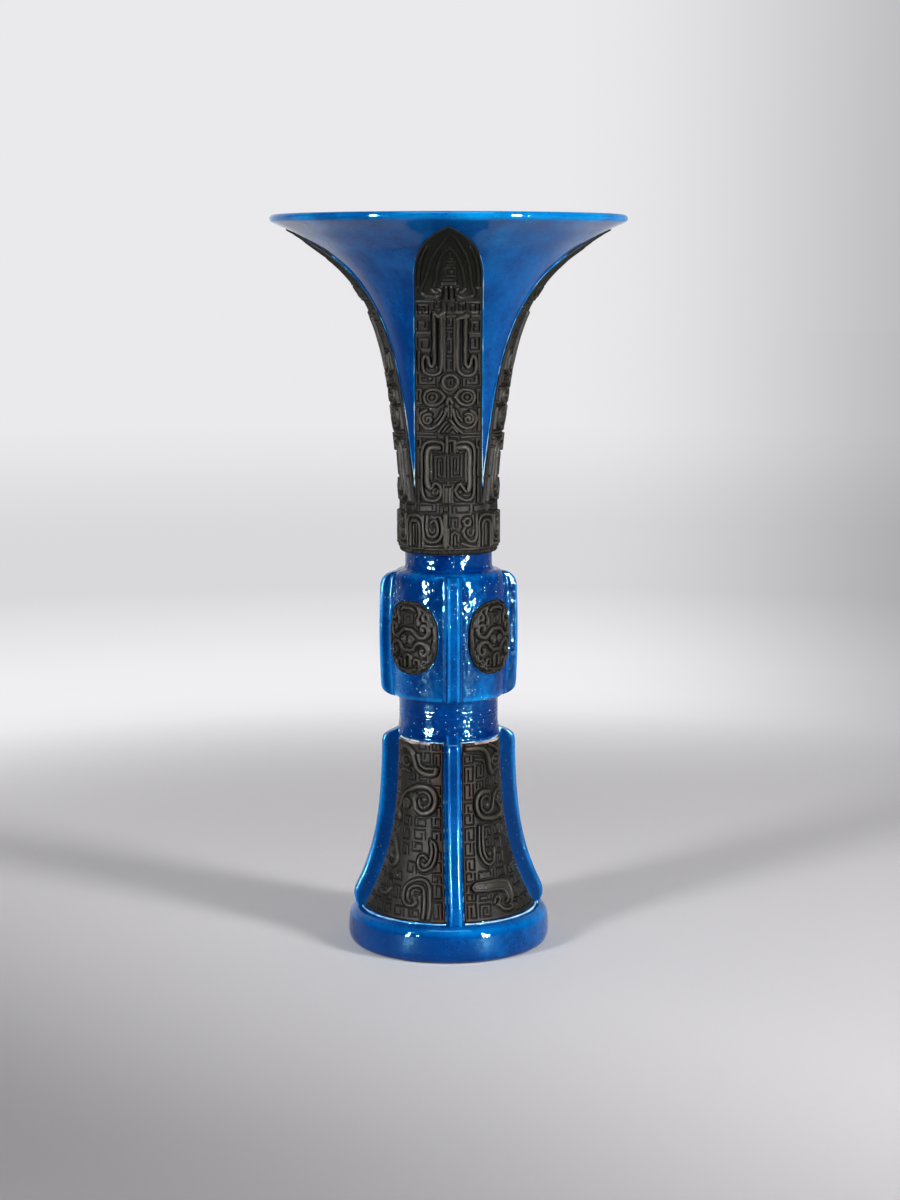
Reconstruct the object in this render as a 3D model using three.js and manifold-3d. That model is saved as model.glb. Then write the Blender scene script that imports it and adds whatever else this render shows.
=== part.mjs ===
// A gu vase: a glazed beaker in five luted sections, with moulded relief plates and flanges on its outside.
// Millimetres, +Z up. The origin is the middle of the face that the foot ring stands on, and -Y is the front.

import * as THREE from "three";
import { mergeVertices } from "three/addons/utils/BufferGeometryUtils.js";
import Module from "manifold-3d";

const wasm = await Module();
wasm.setup();

// Heights of the sections, from the resting face up
const ringHeight = 14;
const bellHeight = 68;
const waistHeight = 15;
const bulbHeight = 49.2;
const throatHeight = 6.8;
const collarHeight = 19.5;
const flareHeight = 107.5;

// The waist's and the lip's outer radii, and the steps from one body to the next
const waistRadius = 18.5;
const lipRadius = 67.4;
const waistFlare = 0.3;
const bellSpread = 13.4;
const ringProjection = 6.9;
const bulbLedge = 3;
const bulbBulge = 0.9;
const throatStep = 5.2;
const neckStep = 1;

// Walls, seats and clearances
const wall = 4.2;
const lipThickness = 3;
const lipSlope = THREE.MathUtils.degToRad(23);
const slipGap = 0.3;
const spigotHeight = 4;
const spigotThickness = 2;
const discThickness = 4;
const discLedge = 2;
const ringInset = 3.2;
const innerEase = 9;

// Rounded edges and coves
const ringTopRound = 4.5;
const ringFootRound = 3.4;
const ringLean = 1;
const ringBoreRound = 1;
const bulbEdgeRound = 1.4;
const shoulderRound = 3.6;
const throatCove = 1.8;
const ledgeCove = 1.2;
const collarRound = 1.6;

// Shares: of the height or the spread that a curve covers, and the leaf's half width of the neck's radius
const flareRiseShare = 0.575;
const flareLeanShare = 0.096;
const flarePullShare = 0.916;
const bellRiseShare = 0.294;
const bellPullShare = 0.8;
const bellDropShare = 0.47;
const bellEaseShare = 0.03;
const ringBellyShare = 0.35;
const archFullShare = 0.62;
const archPointShare = 0.5;
const archCrownShare = 0.155;
const bladeWidthShare = 0.717;

// Shares of a leaf's rise and half width, and of a panel's rise, that place the main ridges on them
const bandFootShare = 0.035;
const bandTopShare = 0.225;
const bandAsideShare = 0.72;
const eyeRiseShare = 0.395;
const eyeAsideShare = 0.53;
const barFootShare = 0.49;
const barTopShare = 0.68;
const barAsideShare = 0.33;
const archAsideShare = 0.6;
const archRiseShare = 0.8;
const curlRiseShare = 0.66;
const hookFootShare = 0.29;
const hookTopShare = 0.5;
const tailRiseShare = 0.18;
const tailFootShare = 0.05;

// Relief plates
const bladeThickness = 1;
const bladeTipDrop = 6.8;
const bladeArch = 15.5;
const collarThickness = 1.8;
const medallionWidth = 23;
const medallionHeight = 28;
const medallionThickness = 1.1;
const rimWidth = 1.5;
const rimHeight = 0.4;
const panelThickness = 1;
const panelMargin = 0.8;
const panelTopDrop = 1;

// Main ridges on the leaves and the panels
const ridgeHeight = 0.5;
const ridgeWidth = 2.4;
const bandReturn = 4.6;
const barHook = 2.4;
const eyeRadius = 2.5;
const archLeg = 6;
const curlRadius = 3.8;
const curlAside = 4;
const hookRadius = 3.2;
const hookAside = 8.4;
const tailAside = 12;
const tailLength = 13;

// Flanges
const flangeCrest = 3;
const flangeRoot = 6;
const flangeRound = 2.6;
const bulbFlangeHeight = 4.3;
const bulbFlangeHeel = 3;
const bulbFlangeBrow = 4;
const footFlangeHeight = 7;
const footFlangeToe = 6;
const footFlangeToeBack = 2.9;
const footFlangeBrow = 1.2;
const footFlangeCrown = 2.5;
const flangeTurn = THREE.MathUtils.degToRad(4.5);

// Fineness of the curved faces
const neckSegments = 36;
const bodySegments = 28;
const flareSteps = 10;
const bellSteps = 8;
const bellySteps = 5;
const edgeSteps = 2;
const lipSteps = 3;
const bevelSteps = 2;
const archSteps = 5;
const ovalSteps = 10;
const ridgeSteps = 2;
const knobSteps = 3;
const weldDistance = 1e-4;

// Levels worked out from the heights
const bellFoot = ringHeight + slipGap;
const bellTop = ringHeight + bellHeight;
const waistJoint = bellTop + waistHeight / 2;
const bulbFoot = bellTop + waistHeight;
const bulbTop = bulbFoot + bulbHeight;
const bulbMiddle = (bulbFoot + bulbTop) / 2;
const collarFoot = bulbTop + throatHeight;
const bladeFoot = collarFoot + collarHeight;
const lipTop = bladeFoot + flareHeight;
const bladeTip = lipTop - bladeTipDrop;

// Radii worked out from the steps
const bellTopRadius = waistRadius + waistFlare;
const bellFootRadius = bellTopRadius + bellSpread;
const ringRadius = bellFootRadius + ringProjection;
const ringBore = bellFootRadius - ringInset;
const bulbEndRadius = waistRadius + bulbLedge;
const bulbRadius = bulbEndRadius + bulbBulge;
const throatRadius = bulbEndRadius - throatStep;
const neckRadius = throatRadius + neckStep;
const bladeHalf = neckRadius * bladeWidthShare;
const bladeRise = bladeTip - bladeFoot;
const bladeSpring = bladeTip - bladeArch;

// Bores worked out from the walls
const waistBore = waistRadius - wall;
const bulbBore = bulbEndRadius - wall;
const throatBore = throatRadius - wall;
const neckBore = neckRadius - wall;
const waistSpigot = waistBore + spigotThickness;
const throatSpigot = throatBore + spigotThickness;
const discSeat = ringBore + discLedge;
const reach = 2 * lipRadius;

const quarterTurn = Math.PI / 2;
const sides = ["front", "right", "back", "left"];
const corners = ["front_right", "back_right", "back_left", "front_left"];

const glazeFinish = { color: 0x0a4f9a, roughness: 0.14, metalness: 0 };
const reliefFinish = { color: 0x3a3832, roughness: 0.6, metalness: 0 };
const clayFinish = { color: 0xb9a88c, roughness: 0.85, metalness: 0 };

// A closed solid from a geometry's bare positions.
function solidOf(geometry) {
  const bare = geometry.clone();
  bare.deleteAttribute("normal");
  bare.deleteAttribute("uv");
  const merged = mergeVertices(bare, weldDistance);
  return new wasm.Manifold(new wasm.Mesh({
    numProp: 3,
    vertProperties: new Float32Array(merged.attributes.position.array),
    triVerts: new Uint32Array(merged.index.array),
  }));
}

// A geometry from a solid that was joined or cut, without the needless corners that this left on its faces.
function geometryOf(solid) {
  const mesh = solid.asOriginal().simplify(weldDistance).getMesh();
  const geometry = new THREE.BufferGeometry();
  geometry.setAttribute("position", new THREE.BufferAttribute(mesh.vertProperties, 3));
  geometry.setIndex(new THREE.BufferAttribute(mesh.triVerts, 1));
  geometry.computeVertexNormals();
  return geometry;
}

// Revolves a closed outline of radius and height round the vase's axis.
function revolve(outline, segments) {
  const closed = [...outline, outline[0].clone()];
  return new THREE.LatheGeometry(closed, segments).rotateX(quarterTurn);
}

// Revolves a line together with the axis, as the full volume inside it.
function revolveCore(line) {
  const foot = new THREE.Vector2(0, line[0].y);
  const top = new THREE.Vector2(0, line.at(-1).y);
  return new THREE.LatheGeometry([foot, ...line, top], bodySegments).rotateX(quarterTurn);
}

// A line with its ends carried straight down to the resting face and straight up to the lip.
function carriedOn(line) {
  const foot = new THREE.Vector2(line[0].x, 0);
  const top = new THREE.Vector2(line.at(-1).x, lipTop);
  return [foot, ...line, top];
}

// The point of a rising line at a height.
function pointAt(line, height) {
  const next = Math.max(line.findIndex(({ y }) => y > height), 1);
  const [low, high] = [line[next - 1], line[next]];
  return low.clone().lerp(high, (height - low.y) / (high.y - low.y));
}

// The stretch of a rising line between two heights.
function stretch(line, foot, top) {
  const between = line.filter(({ y }) => y > foot && y < top);
  return [pointAt(line, foot), ...between, pointAt(line, top)];
}

// Moves each point of a rising line outwards along its normal.
function offsetLine(line, distanceAt) {
  return line.map((point, i) => {
    const before = line[Math.max(i - 1, 0)];
    const after = line[Math.min(i + 1, line.length - 1)];
    const along = after.clone().sub(before).normalize();
    const out = new THREE.Vector2(along.y, -along.x);
    return point.clone().addScaledVector(out, distanceAt(i / (line.length - 1)));
  });
}

// A plate all round the vase that lies on a rising line, one slip gap away from it.
function plateOn(line, thickness, segments) {
  const back = offsetLine(line, () => slipGap);
  const face = offsetLine(line, () => slipGap + thickness);
  return solidOf(revolve([...face, ...back.reverse()], segments));
}

// A flat outline in X and Z, extruded from the axis towards the front.
function frontPrism(shape, steps) {
  const settings = { depth: reach, bevelEnabled: false, curveSegments: steps };
  return new THREE.ExtrudeGeometry(shape, settings).rotateX(quarterTurn);
}

// The quarter of space between two planes that stand a margin off the flange planes.
function quadrant(margin) {
  const size = reach + lipTop;
  const box = new THREE.BoxGeometry(size, size, 2 * size);
  return box.translate(size / 2 + margin, -size / 2 - margin, 0);
}

// The rising curve of the trumpet's outside, from the top of the collar to the root of the lip.
function flareLine() {
  const half = lipThickness / 2;
  const end = new THREE.Vector2(
    lipRadius - half + half * Math.sin(lipSlope),
    lipTop - half - half * Math.cos(lipSlope),
  );
  const spread = lipRadius - neckRadius;
  const along = new THREE.Vector2(Math.cos(lipSlope), Math.sin(lipSlope));
  const curve = new THREE.CubicBezierCurve(
    new THREE.Vector2(neckRadius, bladeFoot),
    new THREE.Vector2(neckRadius + spread * flareLeanShare, bladeFoot + flareHeight * flareRiseShare),
    end.clone().addScaledVector(along, -spread * flarePullShare),
    end,
  );
  return curve.getPoints(flareSteps);
}

// The rising curve of the foot bell's outside.
function bellLine() {
  const curve = new THREE.CubicBezierCurve(
    new THREE.Vector2(bellFootRadius, bellFoot),
    new THREE.Vector2(bellFootRadius - bellSpread * bellPullShare, bellFoot + bellHeight * bellRiseShare),
    new THREE.Vector2(bellTopRadius + bellSpread * bellEaseShare, bellTop - bellHeight * bellDropShare),
    new THREE.Vector2(bellTopRadius, bellTop),
  );
  return curve.getPoints(bellSteps);
}

// The barrel curve of the bulb's outside, between its two rounded edges.
function bellyLine() {
  const curve = new THREE.QuadraticBezierCurve(
    new THREE.Vector2(bulbEndRadius, bulbFoot + bulbEdgeRound),
    new THREE.Vector2(2 * bulbRadius - bulbEndRadius, bulbMiddle),
    new THREE.Vector2(bulbEndRadius, bulbTop - shoulderRound),
  );
  return curve.getPoints(bellySteps);
}

// The whole outside of the bulb section, from the waist joint to the collar.
function bulbSkin() {
  const foot = new THREE.Path();
  foot.moveTo(waistRadius, waistJoint + slipGap);
  foot.lineTo(waistRadius, bulbFoot - ledgeCove);
  foot.quadraticCurveTo(waistRadius, bulbFoot, waistRadius + ledgeCove, bulbFoot);
  foot.lineTo(bulbEndRadius - bulbEdgeRound, bulbFoot);
  const shoulder = new THREE.Path();
  shoulder.moveTo(bulbEndRadius, bulbTop - shoulderRound);
  shoulder.quadraticCurveTo(bulbEndRadius, bulbTop, bulbEndRadius - shoulderRound, bulbTop);
  shoulder.quadraticCurveTo(throatRadius, bulbTop, throatRadius, bulbTop + throatCove);
  shoulder.lineTo(throatRadius, collarFoot);
  return [...foot.getPoints(edgeSteps), ...bellyLine(), ...shoulder.getPoints(edgeSteps + 1).slice(1)];
}

function trumpetNeck() {
  const outside = flareLine();
  const inside = offsetLine(outside, (share) => -THREE.MathUtils.lerp(wall, lipThickness, share));
  const half = lipThickness / 2;
  const end = outside.at(-1);
  const middle = end.clone().add(inside.at(-1)).multiplyScalar(0.5);
  const lip = new THREE.Path();
  lip.absarc(middle.x, middle.y, half, lipSlope - quarterTurn, lipSlope + quarterTurn, false);
  const root = new THREE.Path();
  root.moveTo(neckBore, collarFoot + spigotHeight + 2 * slipGap);
  root.lineTo(throatSpigot + slipGap, collarFoot + spigotHeight + 2 * slipGap);
  root.lineTo(throatSpigot + slipGap, collarFoot + slipGap);
  root.lineTo(neckRadius, collarFoot + slipGap);
  const bead = lip.getPoints(lipSteps).slice(1, -1);
  return revolve([...root.getPoints(), ...outside, ...bead, ...inside.reverse()], neckSegments);
}

function bulbBody() {
  const inside = new THREE.Path();
  inside.moveTo(throatSpigot, collarFoot);
  inside.lineTo(throatSpigot, collarFoot + spigotHeight);
  inside.lineTo(throatBore, collarFoot + spigotHeight);
  inside.lineTo(throatBore, bulbTop - wall / 2);
  inside.bezierCurveTo(
    throatBore, bulbTop - wall, bulbBore, bulbTop - wall, bulbBore, bulbTop - innerEase,
  );
  inside.lineTo(bulbBore, bulbFoot + innerEase);
  inside.bezierCurveTo(
    bulbBore, bulbFoot + wall, waistBore, bulbFoot + wall, waistBore, bulbFoot,
  );
  inside.lineTo(waistBore, waistJoint + spigotHeight + 2 * slipGap);
  inside.lineTo(waistSpigot + slipGap, waistJoint + spigotHeight + 2 * slipGap);
  inside.lineTo(waistSpigot + slipGap, waistJoint + slipGap);
  return revolve([...bulbSkin(), ...inside.getPoints(edgeSteps + 1)], bodySegments);
}

function footBell() {
  const outside = bellLine();
  const inside = outside.map((point) => new THREE.Vector2(point.x - wall, point.y));
  const top = new THREE.Path();
  top.moveTo(bellTopRadius, bellTop);
  top.quadraticCurveTo(waistRadius, bellTop, waistRadius, waistJoint);
  top.lineTo(waistSpigot, waistJoint);
  top.lineTo(waistSpigot, waistJoint + spigotHeight);
  top.lineTo(waistBore, waistJoint + spigotHeight);
  return revolve([...outside, ...top.getPoints(edgeSteps).slice(1), ...inside.reverse()], bodySegments);
}

function footRing() {
  const ledge = ringHeight - discThickness - slipGap;
  const outline = new THREE.Path();
  outline.moveTo(ringBore, ringBoreRound);
  outline.quadraticCurveTo(ringBore, 0, ringBore + ringBoreRound, 0);
  outline.lineTo(ringRadius - ringFootRound, 0);
  outline.quadraticCurveTo(ringRadius, 0, ringRadius, ringHeight * ringBellyShare);
  outline.quadraticCurveTo(ringRadius - ringLean, ringHeight, ringRadius - ringTopRound, ringHeight);
  outline.lineTo(discSeat, ringHeight);
  outline.lineTo(discSeat, ledge);
  outline.lineTo(ringBore, ledge);
  return revolve(outline.getPoints(edgeSteps + 1), bodySegments);
}

function baseDisc() {
  const foot = ringHeight - discThickness;
  const edge = discSeat - slipGap;
  const outline = [new THREE.Vector2(edge, foot), new THREE.Vector2(edge, foot + discThickness)];
  return revolveCore(outline);
}

function collarBand() {
  const back = neckRadius + slipGap;
  const face = back + collarThickness;
  const round = Math.min(collarRound, collarThickness);
  const outline = new THREE.Path();
  outline.moveTo(back, collarFoot);
  outline.lineTo(face - round, collarFoot);
  outline.quadraticCurveTo(face, collarFoot, face, collarFoot + 2 * round);
  outline.lineTo(face, bladeFoot);
  outline.lineTo(back, bladeFoot);
  return revolve(outline.getPoints(edgeSteps + 1), neckSegments);
}

// A ridge of even width along a line.
function ridgeAlong(line) {
  const left = offsetLine(line, () => -ridgeWidth / 2);
  const right = offsetLine(line, () => ridgeWidth / 2);
  return new THREE.Shape([...left, ...right.reverse()]);
}

// A line that comes down and turns up again at its foot, towards one side.
function hookLine(aside, foot, top, radius, towards) {
  const hook = new THREE.Path();
  hook.moveTo(aside, top);
  hook.lineTo(aside, foot + radius);
  const start = towards > 0 ? Math.PI : 0;
  const end = towards > 0 ? 2 * Math.PI : -Math.PI;
  hook.absarc(aside + towards * radius, foot + radius, radius, start, end, towards < 0);
  return hook.getPoints(ridgeSteps);
}

// A round knob.
function knob(aside, height) {
  const circle = new THREE.EllipseCurve(aside, height, eyeRadius, eyeRadius);
  return new THREE.Shape(circle.getPoints(knobSteps * 2).slice(1));
}

// Follows a pointed arch from one end of its spring line to the other.
function archOver(path, half, rise) {
  const side = bladeSpring + rise * archFullShare;
  const crown = bladeSpring + rise * (1 - archCrownShare);
  path.bezierCurveTo(half, side, half * archPointShare, crown, 0, bladeSpring + rise);
  path.bezierCurveTo(-half * archPointShare, crown, -half, side, -half, bladeSpring);
}

// The main ridges of a leaf: brackets at its foot, eyes, long hooked bars and an arch.
function bladeRidges() {
  const levelAt = (share) => bladeFoot + bladeRise * share;
  const arch = new THREE.Path();
  arch.moveTo(bladeHalf * archAsideShare, bladeSpring - archLeg);
  arch.lineTo(bladeHalf * archAsideShare, bladeSpring);
  archOver(arch, bladeHalf * archAsideShare, bladeArch * archRiseShare);
  arch.lineTo(-bladeHalf * archAsideShare, bladeSpring - archLeg);
  const pairs = [-1, 1].flatMap((towards) => {
    const band = towards * bladeHalf * bandAsideShare;
    const bracket = [
      new THREE.Vector2(band - towards * bandReturn, levelAt(bandTopShare)),
      new THREE.Vector2(band, levelAt(bandTopShare)),
      new THREE.Vector2(band, levelAt(bandFootShare)),
      new THREE.Vector2(band - towards * bandReturn, levelAt(bandFootShare)),
    ];
    const bar = towards * bladeHalf * barAsideShare;
    return [
      ridgeAlong(bracket),
      knob(towards * bladeHalf * eyeAsideShare, levelAt(eyeRiseShare)),
      ridgeAlong(hookLine(bar, levelAt(barFootShare), levelAt(barTopShare), barHook, towards)),
    ];
  });
  return [ridgeAlong(arch.getPoints(ridgeSteps)), ...pairs];
}

// A tall leaf with a pointed arch, lying on the trumpet and mitred where it meets its neighbours.
function neckBlade() {
  const leaf = new THREE.Shape();
  leaf.moveTo(-bladeHalf, bladeFoot + slipGap);
  leaf.lineTo(bladeHalf, bladeFoot + slipGap);
  leaf.lineTo(bladeHalf, bladeSpring);
  archOver(leaf, bladeHalf, bladeArch);
  const plate = plateOn(flareLine(), bladeThickness, neckSegments);
  const crest = plateOn(flareLine(), bladeThickness + ridgeHeight, neckSegments);
  const ridges = crest.intersect(solidOf(frontPrism(bladeRidges(), ridgeSteps)));
  const mitre = solidOf(quadrant(slipGap / 2).rotateZ(-quarterTurn / 2));
  return geometryOf(plate.intersect(solidOf(frontPrism(leaf, archSteps))).add(ridges).intersect(mitre));
}

// An oval outline on the bulb, made smaller by an inset.
function oval(inset) {
  const shape = new THREE.Shape();
  const across = medallionWidth / 2 - inset;
  const up = medallionHeight / 2 - inset;
  shape.absellipse(0, bulbMiddle, across, up, 0, 2 * Math.PI, false, 0);
  return solidOf(frontPrism(shape, ovalSteps));
}

// An oval plate with a raised rim, lying on the bulb.
function bulbMedallion() {
  const plate = plateOn(bellyLine(), medallionThickness, bodySegments);
  const rim = plateOn(bellyLine(), medallionThickness + rimHeight, bodySegments);
  const border = rim.intersect(oval(0)).subtract(oval(rimWidth));
  const between = solidOf(quadrant(flangeRoot / 2 + panelMargin).rotateZ(-quarterTurn / 2));
  return geometryOf(plate.intersect(oval(0)).add(border).intersect(between));
}

// A tail that ends a panel's drawing: a level bar that turns down at its far end.
function barTail(levelAt) {
  const tail = new THREE.Path();
  const end = tailLength - tailAside;
  tail.moveTo(-tailAside, levelAt(tailRiseShare));
  tail.lineTo(end - hookRadius, levelAt(tailRiseShare));
  tail.absarc(end - hookRadius, levelAt(tailRiseShare) - hookRadius, hookRadius, quarterTurn, 0, true);
  tail.lineTo(end, levelAt(tailFootShare));
  return tail.getPoints(ridgeSteps);
}

// A tail that ends a panel's drawing: a stem that turns over at its head.
function loopTail(levelAt) {
  const tail = new THREE.Path();
  tail.moveTo(-tailAside, levelAt(tailFootShare));
  tail.lineTo(-tailAside, levelAt(tailRiseShare));
  tail.absarc(hookRadius - tailAside, levelAt(tailRiseShare), hookRadius, Math.PI, 0, true);
  tail.lineTo(2 * hookRadius - tailAside, levelAt(tailFootShare) + hookRadius);
  return tail.getPoints(ridgeSteps);
}

// A plate that fills the bell's quarter between two flanges, with the main ridges of its drawing.
function footPanel(tailOf, towards) {
  const levelAt = (share) => bellFoot + bellHeight * share;
  const curl = new THREE.Path();
  curl.absarc(-curlAside, levelAt(curlRiseShare), curlRadius, 0, Math.PI + quarterTurn, false);
  const hook = hookLine(-hookAside, levelAt(hookFootShare), levelAt(hookTopShare), hookRadius, 1);
  const lines = [curl.getPoints(2 * ridgeSteps), hook, tailOf(levelAt)];
  const drawn = lines.map((line) => line.map(({ x, y }) => new THREE.Vector2(towards * x, y)));
  const prism = frontPrism(drawn.map(ridgeAlong), ridgeSteps).rotateZ(quarterTurn / 2);
  const line = stretch(bellLine(), bellFoot, bellTop - panelTopDrop);
  const plate = plateOn(line, panelThickness, bodySegments);
  const ridges = plateOn(line, panelThickness + ridgeHeight, bodySegments).intersect(solidOf(prism));
  return geometryOf(plate.add(ridges).intersect(solidOf(quadrant(flangeRoot / 2 + panelMargin))));
}

// A flange outline in radius and height, extruded across the front plane with rounded edges, less the body.
function flange(outline, bodyLine) {
  const settings = {
    depth: flangeCrest,
    bevelEnabled: true,
    bevelThickness: (flangeRoot - flangeCrest) / 2,
    bevelSize: flangeRound,
    bevelOffset: -flangeRound,
    bevelSegments: bevelSteps,
  };
  const blade = new THREE.ExtrudeGeometry(outline, settings);
  blade.translate(0, 0, -flangeCrest / 2);
  blade.rotateX(quarterTurn).rotateZ(-quarterTurn);
  const body = revolveCore(carriedOn(offsetLine(bodyLine, () => slipGap)));
  return geometryOf(solidOf(blade).subtract(solidOf(body)));
}

function bulbFlange() {
  const side = offsetLine(bellyLine(), () => bulbFlangeHeight);
  const crest = stretch(side, bulbFoot + bulbFlangeHeel, bulbTop - bulbFlangeBrow);
  const outline = new THREE.Shape([
    new THREE.Vector2(0, bulbFoot),
    new THREE.Vector2(bulbEndRadius, bulbFoot),
    ...crest,
    new THREE.Vector2(bulbEndRadius - shoulderRound, bulbTop),
    new THREE.Vector2(0, bulbTop),
  ]);
  return flange(outline, bulbSkin());
}

function footFlange() {
  const body = bellLine();
  const side = offsetLine(body, () => footFlangeHeight);
  const crest = stretch(side, bellFoot + footFlangeToe, bellTop - footFlangeBrow);
  const outline = new THREE.Shape([
    new THREE.Vector2(0, bellFoot),
    new THREE.Vector2(crest[0].x - footFlangeToeBack, bellFoot),
    ...crest,
    new THREE.Vector2(bellTopRadius, bellTop + footFlangeCrown),
    new THREE.Vector2(0, bellTop + footFlangeCrown),
  ]);
  return flange(outline, body);
}

// One named piece with a material of its own, turned about the vase's axis.
function piece(name, geometry, finish, turn = 0) {
  const mesh = new THREE.Mesh(geometry, new THREE.MeshStandardMaterial(finish));
  mesh.name = name;
  mesh.rotation.z = turn;
  return mesh;
}

// Four copies of a piece, a quarter turn apart.
function fourOf(kind, names, geometry, finish, start = 0) {
  return names.map((name, i) => piece(`${kind}_${name}`, geometry, finish, start + i * quarterTurn));
}

const upper = new THREE.Group();
upper.add(piece("trumpet_neck", trumpetNeck(), glazeFinish));
upper.add(piece("collar_band", collarBand(), reliefFinish));
upper.add(...fourOf("neck_blade", sides, neckBlade(), reliefFinish));

const lower = new THREE.Group();
lower.rotation.z = flangeTurn;
lower.add(piece("bulb_body", bulbBody(), glazeFinish));
lower.add(piece("foot_bell", footBell(), glazeFinish));
lower.add(piece("foot_ring", footRing(), glazeFinish));
lower.add(piece("base_disc", baseDisc(), clayFinish));
lower.add(...fourOf("bulb_flange", sides, bulbFlange(), glazeFinish));
lower.add(...fourOf("bulb_medallion", corners, bulbMedallion(), reliefFinish, quarterTurn / 2));
lower.add(...fourOf("foot_flange", sides, footFlange(), glazeFinish));
corners.forEach((corner, i) => {
  const geometry = i % 2 ? footPanel(loopTail, -1) : footPanel(barTail, 1);
  lower.add(piece(`foot_panel_${corner}`, geometry, reliefFinish, i * quarterTurn));
});

const vase = new THREE.Group();
vase.name = "gu_vase";
vase.add(upper, lower);

export default vase;
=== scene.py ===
"""The looks of a glazed gu vase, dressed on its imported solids.

Drawings and sizes are in millimetres, and a finished mesh is in metres. +Z is up and -Y is the front.
"""

import logging
import math
from dataclasses import dataclass, field, replace
from enum import Enum
from typing import Callable, Sequence

import bmesh
import bpy
import numpy as np
from bmesh.types import BMEdge, BMesh, BMVert
from bpy.types import Material, Mesh, Node, NodeSocket as Socket, NodeTree
from mathutils import Matrix, Vector
from numpy import ndarray as Array


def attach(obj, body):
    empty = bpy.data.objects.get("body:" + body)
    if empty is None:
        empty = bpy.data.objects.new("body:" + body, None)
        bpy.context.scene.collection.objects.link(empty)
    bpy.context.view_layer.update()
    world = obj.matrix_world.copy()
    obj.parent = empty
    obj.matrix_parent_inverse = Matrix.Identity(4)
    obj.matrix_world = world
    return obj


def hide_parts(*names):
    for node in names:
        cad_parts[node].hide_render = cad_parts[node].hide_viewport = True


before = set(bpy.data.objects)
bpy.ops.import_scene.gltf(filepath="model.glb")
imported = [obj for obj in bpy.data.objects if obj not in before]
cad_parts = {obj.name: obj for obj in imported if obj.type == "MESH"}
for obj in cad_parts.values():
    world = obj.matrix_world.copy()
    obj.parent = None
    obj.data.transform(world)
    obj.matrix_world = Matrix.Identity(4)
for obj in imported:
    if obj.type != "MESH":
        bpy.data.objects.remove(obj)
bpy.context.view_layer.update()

log = logging.getLogger("gu_vase")

Colour = tuple[int, int, int]
Points = Sequence[tuple[float, float]]

MM = 0.001
QUARTER = math.pi / 2
FULL_TURN = 2 * math.pi
FLANGE_TURN = math.radians(4.5)
SIDES = {"front": 0, "right": 1, "back": 2, "left": 3}
CORNERS = {"front_right": 0, "back_right": 1, "back_left": 2, "front_left": 3}
GLAZE, BISCUIT, CLAY = "peacock_glaze", "carved_biscuit", "bare_clay"
PLATE_BACK = 0.6
FLANGE_BACK = 1.2
ROLL_LIFT = 0.1
GRAIN_CELL, GRAIN_SEED = 1.7, 3
SEAM_DISTANCE = 1e-4
WELD_DISTANCE = 1e-7


# Curves


def bezier(points: Points, steps: int) -> Array:
    """Samples a Bezier curve of three or four control points.

    Args:
        points: Control points as radius and height.
        steps: Number of equal steps of its parameter.

    Returns:
        The points of the curve, one a row.
    """
    work = np.repeat(np.asarray(points, float)[:, None, :], steps + 1, axis=1)
    share = np.linspace(0.0, 1.0, steps + 1)[None, :, None]
    while len(work) > 1:
        work = work[:-1] * (1.0 - share) + work[1:] * share
    return work[0]


def soft_path(points: Array, step: float = 0.35) -> Array:
    """Runs a soft curve through points, without loops at uneven spacings.

    Args:
        points: Points to pass through, one a row.
        step: Length of a step of the result.

    Returns:
        The points of the curve.
    """
    run = np.vstack([2 * points[0] - points[1], points, 2 * points[-1] - points[-2]])
    gaps = np.maximum(np.linalg.norm(np.diff(run, axis=0), axis=1), 1e-6) ** 0.5
    out = []
    for i in range(1, len(run) - 2):
        a, b, c, d = run[i - 1:i + 3]
        g0, g1, g2 = gaps[i - 1:i + 2]
        leave = ((b - a) / g0 - (c - a) / (g0 + g1) + (c - b) / g1) * g1
        reach = ((c - b) / g1 - (d - b) / (g1 + g2) + (d - c) / g2) * g1
        count = max(2, int(np.linalg.norm(c - b) / step))
        t = np.linspace(0.0, 1.0, count, endpoint=False)[:, None]
        out.append((2 * t**3 - 3 * t**2 + 1) * b + (t**3 - 2 * t**2 + t) * leave
                   + (3 * t**2 - 2 * t**3) * c + (t**3 - t**2) * reach)
    return np.vstack([*out, points[-1:]])


def ease(value: Array | float) -> Array:
    """Smooth step from 0 to 1."""
    part = np.clip(value, 0.0, 1.0)
    return part * part * (3.0 - 2.0 * part)


def bell_curve(value: Array, width: float) -> Array:
    """A soft hump round zero."""
    return np.exp(-((value / width) ** 2))


def ripple(x: Array, y: Array, cell: float, seed: int) -> Array:
    """Soft seeded unevenness over a surface.

    Args:
        x: First coordinate of the points.
        y: Second coordinate of the points.
        cell: Size of a bump.
        seed: Seed of the pattern.

    Returns:
        Values between -1 and 1.
    """
    size = 64
    table = np.random.default_rng(seed).uniform(-1.0, 1.0, (size, size))
    u, v = np.asarray(x) / cell, np.asarray(y) / cell
    i, j = np.floor(u).astype(int), np.floor(v).astype(int)
    fu, fv = ease(u - i), ease(v - j)
    low = table[i % size, j % size] * (1 - fu) + table[(i + 1) % size, j % size] * fu
    high = table[i % size, (j + 1) % size] * (1 - fu) + table[(i + 1) % size, (j + 1) % size] * fu
    return low * (1 - fv) + high * fv


def lengths_along(points: Array) -> Array:
    """Length from the first point to each of the points."""
    return np.concatenate([[0.0], np.cumsum(np.linalg.norm(np.diff(points, axis=0), axis=1))])


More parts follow.
